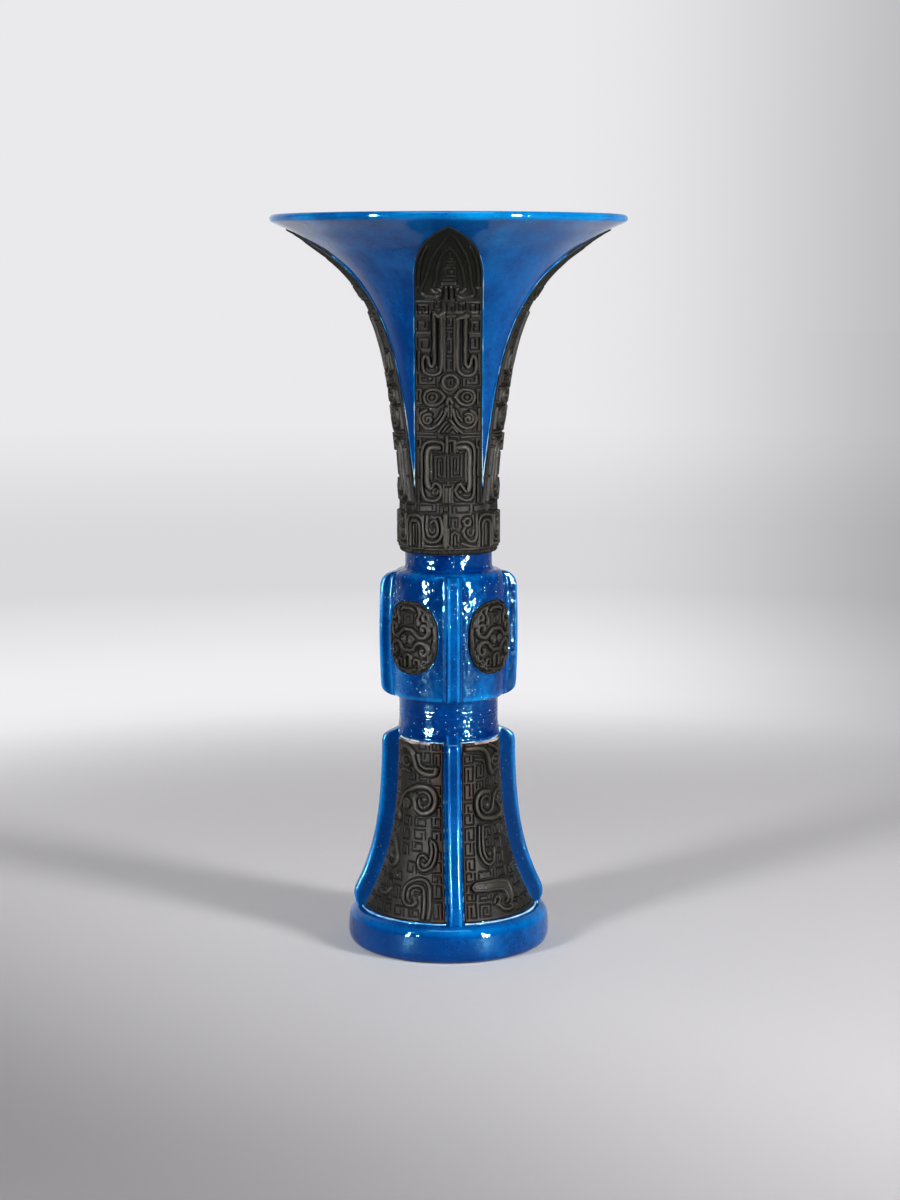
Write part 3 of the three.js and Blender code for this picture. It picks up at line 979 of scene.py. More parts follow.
@dataclass
class Plate:
    """What all relief plates share: the face's height, the rounded border and the wall into the body."""

    ground: float = 1.2
    border: float = 0.7
    sink: float = 0.35

    def lift(self, relief: Array, inset: Array) -> Array:
        """Heights over the body, rounded down at the plate's border.

        Args:
            relief: Heights of the carving over the face.
            inset: Distance of each point from the plate's border.

        Returns:
            Heights over the body, with the outermost ring sunk into it.
        """
        edge = ease(inset / self.border + 0.15)
        lift = self.ground * (0.7 + 0.3 * edge) + relief * edge
        lift[0] = lift[-1] = -self.sink
        lift[:, 0] = lift[:, -1] = -self.sink
        return lift

    def dress(self, mesh: Mesh, relief: Array, warm: Array) -> None:
        """Stores the carving and the tints for the biscuit; a positive relief is a ridge, and callers lower
        it for painted shade.
        """
        set_value(mesh, "relief", np.clip(0.5 + np.where(relief > 0, 0.62, 0.85) * relief, 0.0, 1.1))
        set_value(mesh, "warm", warm)


@dataclass
class Trumpet(Heights):
    """The trumpet neck: a flared glazed body with a rolled lip, and glaze rolls along its leaves."""

    neck_radius: float = 17.3
    lip_radius: float = 67.4
    lip_thickness: float = 3.0
    lip_slope: float = math.radians(23)
    wall: float = 4.2
    throwing_mark: float = 0.05
    roll_radius: float = 0.26
    roll_seed: int = 20
    steps: int = 224

    def flare(self) -> Line:
        """The outside of the flare.

        Returns:
            The line from the collar to the lip.
        """
        half = self.lip_thickness / 2
        spread = self.lip_radius - self.neck_radius
        rise = self.lip_top - self.blade_foot
        cos, sin = math.cos(self.lip_slope), math.sin(self.lip_slope)
        end = (self.lip_radius - half + half * sin, self.lip_top - half - half * cos)
        lean = (self.neck_radius + spread * 0.096, self.blade_foot + rise * 0.575)
        pull = (end[0] - spread * 0.916 * cos, end[1] - spread * 0.916 * sin)
        return Line(bezier([(self.neck_radius, self.blade_foot), lean, pull, end], 160))

    def build(self, leaves: "Leaves") -> list[Piece]:
        """Spins the body and adds the rolls of glaze along the leaves.

        Args:
            leaves: The plates that lie on the flare.

        Returns:
            The one piece.
        """
        outside = self.flare()
        share = np.linspace(0.0, 1.0, len(outside.points))
        inside = outside.offset(-(self.wall + (self.lip_thickness - self.wall) * share)).points
        middle, half = (outside.points[-1] + inside[-1]) / 2, self.lip_thickness / 2
        turn = np.linspace(self.lip_slope - QUARTER, self.lip_slope + QUARTER, 15)[1:-1]
        bead = middle + half * np.stack([np.cos(turn), np.sin(turn)], axis=1)
        foot = self.collar_foot - 0.2
        root = [(inside[0, 0], foot), (self.neck_radius, foot)]
        marks = self.throwing_mark * np.sin(outside.arc / 2.1) * ease((outside.arc - 60) / 40)
        bm = spun(np.vstack([root, outside.offset(marks).points, bead, inside[::-2]]), self.steps)
        path, out = leaves.border_path(outside)
        for i, turn in enumerate(quarter_turns()):
            add_roll(bm, path @ turn, out @ turn, self.roll_radius, False, self.roll_seed + i)
        mesh = mesh_of("trumpet_neck", bm)
        set_value(mesh, "thin_and_lit", self.thinness_and_light(mesh, outside))
        set_value(mesh, "calm", np.ones(len(mesh.vertices)))
        return [Piece("trumpet_neck", mesh, GLAZE)]

    def thinness_and_light(self, mesh: Mesh, outside: Line) -> Array:
        """How thin the glaze lies at each vertex, with painted light added where light falls on the flare,
        its lip and its rolls.

        Args:
            mesh: The neck's mesh.
            outside: The outside of the flare.

        Returns:
            Values from 0, pooled, to 1, thin; the painted light raises them.
        """
        x, y, z, radius = places_of(mesh)
        lip = ease((radius - self.lip_radius + 2.6) / 2.2)
        # Painted sheen: upper and under_lip make the top of the flare lighter, for the pale floor that it
        # reflects.
        upper, under_lip = ease((z - 225.0) / 45.0), ease((z - 252.0) / 20.0)
        roll = proud(radius, outside.radius_at(z)) * (1 - lip) * (z > self.blade_foot)
        # Painted glints: spark and lower whiten the rolls of glaze in broken dashes, over the paler colour of
        # their thin glaze.
        spark = ease(2.0 * ripple(z, x + y, 8.0, 31) - 0.1)
        # Painted light: left and right make the lip's ends and the right side of the flare lighter, where the
        # lamps fall.
        left, right = ease(-x / 50.0 - 0.4), ease(0.5 + x / 60.0)
        rim = (0.1 + 0.1 * right + 0.1 * left) * lip
        body = 0.28 + 0.06 * upper + 0.06 * under_lip + 0.08 * right + rim
        lower = ease((222.0 - z) / 25.0)
        return body + (0.22 + 0.3 * spark + 0.26 * lower) * roll


@dataclass
class Leaves(Heights, Plate):
    """The four leaf plates that stand on the collar and follow the flare."""

    half_width: float = 12.4
    tip_drop: float = 6.8
    arch: float = 15.5
    full: float = 0.62
    point: float = 0.5
    crown: float = 0.155
    face: float = 1.7
    foot_spread: float = 0.35
    foot_rise: float = 16.0
    foot_drop: float = 0.3
    columns: int = 142
    rows: int = 604

    def outline(self) -> Array:
        """The leaf's border.

        Returns:
            Half width and height, from its foot to its tip.
        """
        tip = self.lip_top - self.tip_drop
        spring = tip - self.arch
        curve = bezier([(self.half_width, spring), (self.half_width, spring + self.arch * self.full),
                        (self.half_width * self.point, tip - self.arch * self.crown), (0.0, tip)], 60)
        wide, low = self.half_width + self.foot_spread, self.blade_foot
        foot = [(wide, low), (self.half_width, low + self.foot_rise)]
        return np.vstack([foot, curve])

    def half_at(self, height: Array) -> Array:
        """Half width of the leaf at a height."""
        outline = self.outline()
        return np.maximum(np.interp(height, outline[:, 1], outline[:, 0]), 0.12)

    def border_path(self, outside: Line) -> tuple[Array, Array]:
        """The line where the front leaf's border meets the glaze.

        Args:
            outside: The outside of the flare.

        Returns:
            Points up one side and down the other, and the directions out of the surface.
        """
        s = np.linspace(1.5, outside.arc_at(self.lip_top - self.tip_drop), 150)
        radius, height = outside.at(s, ROLL_LIFT)
        half = self.half_at(height) + 0.28
        half[-1] = 0.05
        out_r, out_z = outside.out_at(s)
        angle = np.arcsin(np.clip(half / radius, 0.0, 1.0))
        path, out = around(radius, angle, height), around(out_r, angle, out_z)
        flip = np.array([-1.0, 1.0, 1.0])
        return np.vstack([path, (path * flip)[::-1][1:]]), np.vstack([out, (out * flip)[::-1][1:]])

    def lower_mask(self) -> list[Stroke]:
        """The confronted bands and the square spirals at the leaf's foot.

        Returns:
            The strokes.
        """
        return [
            *softs(Pen.RIDGE,
                (-1.9, 22.3, -2.6, 23.3, -4.2, 23.7, -7.4, 23.6, -9.2, 22.4, -9.9, 20, -9.9, 12, -9.9, 4.6,
                 -9.2, 2.4, -7.2, 1.4, -4.8, 1.5, -3.2, 2.8, -2.8, 4.8, -3.3, 6.9, -4.6, 7.9, -5.6, 7.5,
                 -6.3, 6.1, -7, 5.7, -7.4, 6.8),
                (2.3, 22.3, 3, 23.3, 4.5, 23.7, 7.2, 23.6, 8.9, 22.5, 9.6, 20.5, 9.6, 12, 9.6, 4.2, 9.1, 2.6,
                 8, 1.8, 6.2, 1.6, 4.4, 2.4, 3, 3.9, 2.6, 5.5, 3.3, 6.7, 4.3, 7.8, 5.3, 6.3, 6.5, 4.8,
                 7.4, 4.8)),
            *softs(Pen.BAND,
                (-3.8, 21.3, -6.2, 21.6, -7.6, 20.6, -8, 18.5, -8, 12, -8, 8, -7.5, 6.6),
                (4.2, 21.4, 6.4, 21.6, 7.5, 20.6, 7.9, 18.5, 7.9, 12, 7.9, 6.4, 7.5, 5.2)),
            ring(-4.9, 4.7, 1),
            *straights(Pen.THREAD,
                (-6.5, 9.4, -6.5, 19.4), (6.5, 8.4, 6.5, 19.4), (-2, 20, -2, 22), (3.3, 20, 3.3, 22),
                (-1.8, 0.4, -1.8, 7.4, 1.5, 7.4, 1.5, 0.4), (-0.2, 7.4, -0.2, 8.8)),
            boss(4.4, 4.6, 0.9),
            *each(fret, (-5.9, 9.3, -0.4, 19, False, 1.3), (0.1, 9.3, 5.9, 19, True, 1.3)),
            *straights(Pen.CUT,
                (-6.1, 18.95, 5.9, 18.95), (-5, 9, 4.4, 9), (-0.3, 24.9, 2.4, 24.9), (-10, 0.7, -3, 0.7),
                (2.8, 0.8, 9.2, 0.8)),
            *straights(Pen.RIDGE,
                (-0.7, 19.7, -0.7, 25.6), (2.3, 19.8, 2.3, 24.1, 0.4, 24.1), (-0.7, 0.8, -0.7, 6),
                (0.5, 0.8, 0.5, 6)),
            *straights(Pen.SLOT, (1.3, 20.3, 1.3, 23.6)),
            *self.side_lines(),
        ]

    def side_lines(self) -> list[Stroke]:
        """The thin upright lines beside the lower bands, on both sides.

        Returns:
            The strokes.
        """
        right = [
            *straights(Pen.THREAD,
                (11.1, 0.8, 11.1, 9.5), (11.1, 10.6, 11.1, 20.4),
                (11.5, 21.2, 10.6, 21.2, 10.6, 24.6, 11.5, 24.6),
                (11.5, 25.6, 5, 25.4), (11.5, 26.8, 5.6, 26.7), (11.4, 28, 11.4, 35.8)),
            *straights(Pen.CUT, (10.6, 10, 11.8, 10)),
            *straights(Pen.SLOT, (11.1, 22.3, 11.1, 23.7)),
        ]
        return [*right, *(stroke.mirrored() for stroke in right)]

    def face_mask(self) -> list[Stroke]:
        """The nose, the scrolls under the eyes, the eyes and the spirals over them.

        Returns:
            The strokes.
        """
        return [
            *straights(Pen.CUT,
                (-3.2, 26.4, 4.6, 26.4), (-11.6, 36.6, -3.8, 36.6), (4.2, 36.7, 11.4, 36.6),
                (-11.7, 44.1, -3.6, 44.1), (4.2, 44.1, 11.6, 44.1)),
            *straights(Pen.THREAD,
                (-3.7, 27.2, -1.7, 30, -0.8, 31), (3.4, 27.3, 1.4, 29.4, -0.4, 27.3),
                (-2.2, 27.3, -0.2, 29.6), (-0.1, 33.4, -0.1, 37.4), (1, 32.8, 1, 37.4),
                (-11.5, 38, -10.4, 38, -10.4, 43.2, -11.5, 43.2),
                (11.5, 38, 10.8, 38, 10.8, 43.2, 11.5, 43.2)),
            *straights(Pen.RIDGE, (5.2, 26.9, 2.6, 29.4, 0.7, 31.8)),
            *softs(Pen.RIDGE,
                (-8.3, 35.5, -10.2, 34.2, -10.7, 31.6, -9.1, 29.2, -6.6, 28.6, -4.4, 29.7, -2.6, 31.8,
                 -1.2, 34.4, -0.7, 36.2),
                (8.3, 35.4, 10, 34, 10.3, 31.5, 8.8, 29.2, 6.5, 28.8, 4.4, 29.9, 2.9, 31.9, 2.1, 34.2,
                 1.8, 36),
                (-1.5, 40.6, -3.2, 42.7, -5.8, 43.4, -8.1, 42.7, -9.1, 40.4, -8.1, 38.1, -5.8, 37.4,
                 -3.4, 38.1, -1.5, 40.6),
                (2.7, 40.6, 4.3, 42.8, 6.7, 43.5, 8.8, 42.7, 9.7, 40.5, 8.8, 38.2, 6.7, 37.4, 4.5, 38.2,
                 2.7, 40.6), (-0.6, 38.2, 0.3, 40.2, 1.5, 38.2)),
            *softs(Pen.THREAD,
                (-4.9, 31.2, -3.4, 32.9, -2.2, 35.2), (5.1, 31.4, 3.8, 33.1, 3, 35.2),
                (-2.9, 45.2, -1.4, 42.9, 0.4, 41.9, 2, 42.6, 3.6, 44.6)),
            *each(coil,
                (-7.7, 32, 0.35, 2.2, 200, -1.4, Pen.RIDGE), (7.5, 32.2, 0.35, 2.2, -20, 1.4, Pen.RIDGE)),
            *each(ring, (-6.1, 40.3, 1.75), (6.9, 40.5, 1.75), (0.7, 46.1, 2.75, 2.75, Pen.RIDGE)),
            *each(boss, (-6.1, 40.3, 1.05), (6.9, 40.5, 1.05)),
            *each(fret,
                (-11.7, 44.5, -4.2, 49.3, True, 1.5), (4.7, 44.5, 11.6, 49.3, False, 1.5),
                (-0.9, 44.5, 2.3, 47.9, False, 1.3)),
        ]

    def bars(self) -> list[Stroke]:
        """The two long hooked bars, the middle column and the boxes beside them.

        Returns:
            The strokes.
        """
        return [
            *softs(Pen.RIDGE,
                (-2.6, 71.8, -2.6, 62, -2.6, 52, -3.2, 49.9, -5, 48.9, -7.4, 49, -9, 50.1, -9.5, 52,
                 -9.4, 54.6, -8.5, 56, -7.6, 55.2, -7.2, 53.4, -6.4, 51.8, -5.4, 53, -5.3, 58, -5.3, 65,
                 -5.3, 71.6),
                (3.4, 70.4, 3.4, 62, 3.4, 52, 4, 49.9, 5.8, 48.7, 8.4, 48.8, 9.9, 49.9, 10.4, 52, 10.2, 54.8,
                 9.4, 56.1, 8.7, 55.2, 8.4, 53.4, 7.4, 51.6, 6.4, 53, 6.3, 58, 6.3, 65, 6.3, 71.6)),
            *straights(Pen.TROUGH, (-3.95, 51.9, -3.95, 70.2), (4.85, 51.9, 4.85, 69.4)),
            *softs(Pen.CUT,
                (-8.4, 54.4, -8.3, 51.6, -6.4, 50.3, -4.6, 50.8),
                (9.3, 54.4, 9.2, 51.6, 7.4, 50.2, 5.6, 50.8)),
            *straights(Pen.SLOT, (-6.4, 53.6, -6.6, 57), (7.5, 53.4, 7.6, 57)),
            *straights(Pen.THREAD,
                (-1.6, 50.4, -1.6, 78.6), (2.3, 50.4, 2.3, 70), (-10.9, 50.6, -10.9, 57.6),
                (11.4, 50.6, 11.4, 56.6), (-0.6, 71.2, 2.4, 71.2)),
            *straights(Pen.RIDGE,
                (-5.4, 71.2, -5.3, 72.6, -3.8, 71, -2.3, 72.6, -1.6, 70.6),
                (3.3, 70.2, 4.4, 70.9, 5.6, 70.8, 6.6, 72, 7.4, 71.2)),
            *each(fret,
                (-11.7, 58.5, -6.7, 63.1), (-11.7, 64.9, -6.7, 69.5, True), (-11.7, 71.4, -6.9, 76.2),
                (7.5, 57.7, 11.7, 63, True), (7.5, 64.7, 11.7, 69.7), (7.6, 71.4, 11.7, 76.2, True),
                (-1, 50.7, 2.1, 55.4), (-1, 56.2, 2.1, 61.6, True), (-1, 62.6, 2.1, 66.2),
                (-1, 66.8, 2.1, 70.2, True), (-0.8, 72.6, 2.6, 76.3), (-5.6, 73.6, -2.4, 77.4, True),
                (3.3, 73, 6.6, 77)),
            *straights(Pen.CUT, (-11.5, 50.8, -11.5, 57.4)),
        ]

    def arches(self) -> list[Stroke]:
        """The pointed arches with curled feet, and the stacked ornament inside them.

        Returns:
            The strokes.
        """
        return [
            *softs(Pen.SEAM,
                (0.7, 112.6, -0.4, 109.8, -2.2, 106, -4.2, 101.6, -5.9, 97, -6.9, 93, -7.7, 89, -8.6, 85.6,
                 -9.9, 82.8, -10.2, 81, -9.1, 79.7, -6.6, 79.2, -4.4, 79.1, -3.2, 80.1, -3, 81.6,
                 -3.9, 82.3), (-3.9, 81.2, -5, 80.9, -6.2, 82),
                (0.7, 112.6, 2, 110.4, 3.6, 106.4, 5.3, 102.2, 6.6, 98, 7.4, 94, 7.8, 90, 8.1, 86, 8.6, 83.2,
                 9.3, 81, 8.8, 79.4, 7, 78.7, 4.8, 78.6, 3.4, 79.4, 2.9, 80.8, 3.4, 82.2),
                (4.1, 81, 5.2, 80.9, 6.1, 82.2),
                (0.2, 103.4, -1.3, 101, -2.6, 98, -3.6, 94, -4.2, 89, -4.5, 85.6, -5.4, 83.6),
                (0.2, 103.4, 1.7, 101.2, 3.1, 98.2, 4.4, 94.2, 5.2, 90, 5.7, 86, 5.9, 83.8)),
            *straights(Pen.RIDGE, (-0.9, 77.6, -0.9, 83.4), (1.1, 77.6, 1.1, 83.4), (-2.2, 84.6, 2.4, 84.6)),
            *straights(Pen.THREAD,
                (-1.6, 77.5, 1.8, 77.5), (-1.8, 86.2, 2.2, 86.2, 2.2, 88.2, -0.2, 88.2),
                (-1.2, 88.6, -1.2, 91.6, 0.2, 92.4), (2.2, 89.6, 2.2, 92.2),
                (-0.4, 93.4, 2, 93.4, 2, 95.2, 0, 95.2), (0.5, 98, 0.5, 100.6)),
            *each(boss, (0.9, 90.2, 0.9), (0.8, 97, 0.75)),
            *softs(Pen.THREAD,
                (-10.9, 84, -10.6, 92, -9.6, 98, -7.6, 104), (10.8, 84, 10.5, 92, 9.6, 98, 7.8, 104)),
            *straights(Pen.CUT, (-11.6, 77.4, -2.2, 77.5), (2.6, 77.2, 11.4, 77)),
        ]

    def build(self, flare: Line) -> list[Piece]:
        """Lays one leaf on the flare and turns copies of it to the other sides.

        Args:
            flare: The outside of the trumpet.

        Returns:
            The four pieces.
        """
        face = flare.offset(self.face)
        top, foot = face.arc_at(self.lip_top - self.tip_drop), -self.foot_drop
        s = (foot + (top - foot) * bordered(self.rows))[:, None]
        across = 2 * bordered(self.columns)[None, :] - 1
        half = self.half_at(face.at(s)[1])
        x = across * half
        s_all = s + 0.0 * x
        inset = np.minimum((1 - np.abs(across)) * half, top - s)
        relief = carve(x, s_all, [*self.lower_mask(), *self.face_mask(), *self.bars(), *self.arches()])
        middle = ease((s - 83) / 3) * ease((3.4 - np.abs(x)) / 0.8)
        relief = relief * (1 - 0.2 * ease((s - 76) / 12)) * (1 - 0.5 * middle)
        relief = relief + 0.05 * ripple(x, s_all, GRAIN_CELL, GRAIN_SEED)
        shelf = 0.35 * ease((s - 72.4) / 0.8) * ease((79.4 - s) / 1.2)
        taper = 1 - 0.55 * ease((s - top + 15) / 14)
        radius, height = face.at(s, (self.lift(relief, inset) - shelf) * taper - self.face)
        places = np.stack([x, -np.sqrt(np.maximum(radius**2 - x**2, 0.0)), height], axis=-1)
        mesh = mesh_of("neck_blade", closed_patch(places, flare, PLATE_BACK, 7), 0.0, None)
        warm = 0.3 * ripple(x, s_all, 9.0, 12) - 1.1 * ease((s - 68) / 22) + 0.3 * ease(1 - inset / 1.4)
        # Painted shade: the border and side walls of the leaf are stored darker, partly for the biscuit's
        # dark body and partly for shade on the walls.
        self.dress(mesh, relief - 0.6 * ease(1 - inset / 0.45), warm)
        return turned_copies(mesh, "neck_blade", SIDES, BISCUIT)


@dataclass
class Collar(Heights, Plate):
    """The relief band under the leaves, with a row of pits along its rounded lower edge."""

    back: float = 17.1
    face_radius: float = 18.9
    drawn_radius: float = 19.2
    top_step: float = 0.12
    step_height: float = 168.6
    foot_round: float = 2.2
    pit_height: float = 154.1
    pits: int = 116
    columns: int = 620
    rows: int = 104

    def design(self) -> list[Stroke]:
        """One quarter of the band, from one inverted U to the next.

        Returns:
            The strokes.
        """
        return [
            *each(fret,
                (-12.5, 168.9, -4.5, 172.4, True), (-3.9, 168.9, 0.5, 172.4), (1.1, 168.9, 8.7, 172.4),
                (9.6, 168.9, 17.3, 172.4, True), (0.6, 163.4, 4, 167.6)),
            *softs(Pen.RIDGE,
                (12.4, 156.2, 12.4, 161, 12.4, 165.6, 13.1, 167.4, 14.8, 168, 17.6, 168, 19.3, 167.2,
                 20.1, 165.2, 20.1, 161, 20.1, 156.2),
                (14, 156.4, 14, 161, 14.1, 164.6, 14.8, 165.8, 16.3, 166.1, 17.8, 165.7, 18.5, 164.4,
                 18.6, 161, 18.6, 156.2),
                (-3.4, 167.6, -2.7, 165.8, -2.7, 160.6, -4.2, 158.5, -7.2, 158.1, -9.3, 159.2, -10, 161.2,
                 -10, 164, -10, 167.6),
                (-8.4, 167.6, -8.4, 162.4, -7.7, 160.6, -5.6, 160.1, -4.3, 161.4, -4.2, 164.4, -5.3, 166.3,
                 -6.5, 165.4),
                (11.2, 168.2, 11.2, 164, 11.2, 160.2, 10.6, 158.7, 9.1, 158.2, 7.4, 158.9, 6, 160.6,
                 5.6, 162.4, 6.3, 163.6), (5.2, 157.6, 7.6, 156.7, 10.2, 156.3, 12.4, 156.2),
                (-10, 156.8, -6.4, 156.5, -2.6, 156.8)),
            *straights(Pen.SLOT, (17.4, 157, 17.4, 164.4), (-9.2, 163, -9.2, 168)),
            *straights(Pen.THREAD,
                (15.6, 157, 15.6, 164.2), (0, 158, 0, 163),
                (1.3, 157, 1.3, 161.2, 2.4, 162, 3.9, 161, 3.9, 158.4), (2.6, 157, 2.6, 160.2),
                (-10.06, 155.4, 20.1, 155.4)),
            *each(ring, (-6.2, 162.7, 1), (7.2, 165.7, 1.35, 1.35, Pen.RIDGE)),
            *softs(Pen.THREAD,
                (-6.4, 168, -5.4, 167.1, -4, 167.8), (-0.4, 158, 0.2, 156.6, 1.4, 155.8),
                (9.9, 168, 9.9, 161.6, 8.9, 160.4, 7.6, 161, 7.4, 162.6, 8.4, 163.2)),
            *straights(Pen.BAND, (-1.2, 156.6, -1.2, 168.2)),
            *straights(Pen.CUT, (10.6, 162.4, 10.6, 168.2)),
        ]

    def step_at(self, height: Array) -> Array:
        """How far the row over the band stands back at a height."""
        return self.top_step * ease((height - self.step_height) / 0.5 + 0.5)

    def build(self) -> list[Piece]:
        """Wraps the drawing round the neck.

        Returns:
            The one piece.
        """
        period = 2 * math.pi * self.drawn_radius / 4
        x = np.linspace(-2 * period, 2 * period, self.columns + 1)[None, :-1]
        z = self.collar_foot + (self.blade_foot - self.collar_foot) * bordered(self.rows)[:, None]
        strokes = [stroke.moved(i * period) for stroke in self.design() for i in range(-2, 3)]
        grid_x, grid_z = x + 0.0 * z, z + 0.0 * x
        beat = np.cos(grid_x / (4 * period) * self.pits * 2 * math.pi)
        dots = 0.6 * bell_curve(grid_z - self.pit_height, 0.45) * ease(0.3 + beat)
        worn = 0.35 * ripple(grid_x, grid_z, 1.2, 7) * ease((156.0 - grid_z) / 1.5)
        relief = carve(grid_x, grid_z, strokes) - dots
        relief = relief + 0.05 * ripple(grid_x, grid_z, GRAIN_CELL, GRAIN_SEED) + worn
        low = np.clip((z - self.collar_foot) / self.foot_round, 0.0, 1.0)
        curl = self.foot_round * (1 - np.sqrt(1 - (1 - low) ** 2))
        fade = ease((z - self.collar_foot) / 1.6 + 0.2)
        radius = self.face_radius - 0.6 * curl - self.step_at(z) + relief * fade
        radius[0] = radius[-1] = self.back
        places = around(radius, grid_x / self.drawn_radius, grid_z)
        bm = bmesh.new()
        laid_grid(bm, np.concatenate([places, places[:, :1]], axis=1))
        bmesh.ops.remove_doubles(bm, verts=bm.verts, dist=SEAM_DISTANCE)
        bmesh.ops.bridge_loops(bm, edges=border_edges(bm))
        bmesh.ops.recalc_face_normals(bm, faces=bm.faces)
        mesh = mesh_of("collar_band", bm, 0.0, None)
        x, y, z, radius = places_of(mesh)
        self.dress(mesh, radius - self.face_radius + self.step_at(z), 0.3 * ripple(x + y, z, 7.0, 4))
        return [Piece("collar_band", mesh, BISCUIT)]


@dataclass
class Fin:
    """Cross-section of a flange: a rounded crest on drafted sides that run out in a cove."""

    crest: float = 2.3
    root: float = 2.7
    cove: float = 1.2
    edge: float = 1.25
    sink: float = 0.3

    def section(self, height: float) -> Array:
        """Sideways place, share of the height and sink of each column, from left to right.

        Args:
            height: Full height of the flange.

        Returns:
            One column a row.
        """
        bend = np.linspace(0.0, QUARTER, 9)
        cove = np.stack([self.root + self.cove * (1 - np.sin(bend)),
                         self.cove * (1 - np.cos(bend)) / height], axis=1)
        crown = np.stack([self.crest - self.edge + self.edge * np.cos(bend),
                          1 - self.edge * (1 - np.sin(bend)) / height], axis=1)
        side = np.linspace(cove[-1], crown[0], 8)[1:-1]
        half = np.vstack([cove, side, crown])
        half = np.column_stack([half, np.zeros(len(half))])
        half = np.vstack([[half[0, 0] + 0.2, 0.0, -self.sink], half])
        return np.vstack([half, half[::-1] * np.array([-1.0, 1.0, 1.0])])

    def lay(self, line: Line, crest: Points, lowest: float) -> tuple[BMesh, Array]:
        """Builds a flange that stands on the front of a body.

        Args:
            line: The body's outside.
            crest: Arc length on the body and height over it, from the foot of the flange to its head.
            lowest: Height below which nothing reaches.

        Returns:
            The closed mesh, and for each of its points how near it lies to an edge of the crest.
        """
        run = soft_path(np.asarray(crest, float), 0.55)
        section = self.section(max(height for _, height in crest))
        s, rise = run[:, :1], np.maximum(run[:, 1:], 0.0)
        aside, share, sunk = section.T
        lift = rise * share[None, :] + sunk[None, :]
        lift[0], lift[-1] = -self.sink, -self.sink
        radius, height = line.at(s + 0.0 * lift, lift)
        body = line.at(s)[0]
        sag = (body - np.sqrt(body**2 - aside[None, :] ** 2)) * (1 - share[None, :])
        places = np.stack([aside[None, :] + 0.0 * lift, -(radius - sag), np.maximum(height, lowest)], axis=-1)
        near = bell_curve(np.abs(aside) - self.crest + 0.3 * self.edge, 0.9) * ease((share - 0.6) / 0.3)
        outer = self.root + self.cove - np.abs(aside)
        near = np.maximum(near, 0.6 * ease((self.cove + 0.2 - outer) / 0.4) * ease(outer / self.cove))
        return closed_patch(places, line, FLANGE_BACK, 1), near[None, :] * ease(rise / 1.5) + 0.0 * lift

    def four(self, name: str, made: tuple[BMesh, Array],
             thin_and_lit: tuple[float, float], calm: float) -> list[Piece]:
        """Glazes a flange and turns copies of it to the four sides.

        Args:
            name: What the pieces' names start with.
            made: What lay returned.
            thin_and_lit: How thin the glaze lies on the sides, and how much thinner on the edges.
            calm: How smooth the glaze is.

        Returns:
            The four pieces.
        """
        bm, edge = made
        mesh = mesh_of(name, bm, FLANGE_TURN)
        set_value(mesh, "thin_and_lit", thin_and_lit[0] + thin_and_lit[1] * edge)
        set_value(mesh, "calm", np.full(edge.size, calm))
        return turned_copies(mesh, name, SIDES, GLAZE)


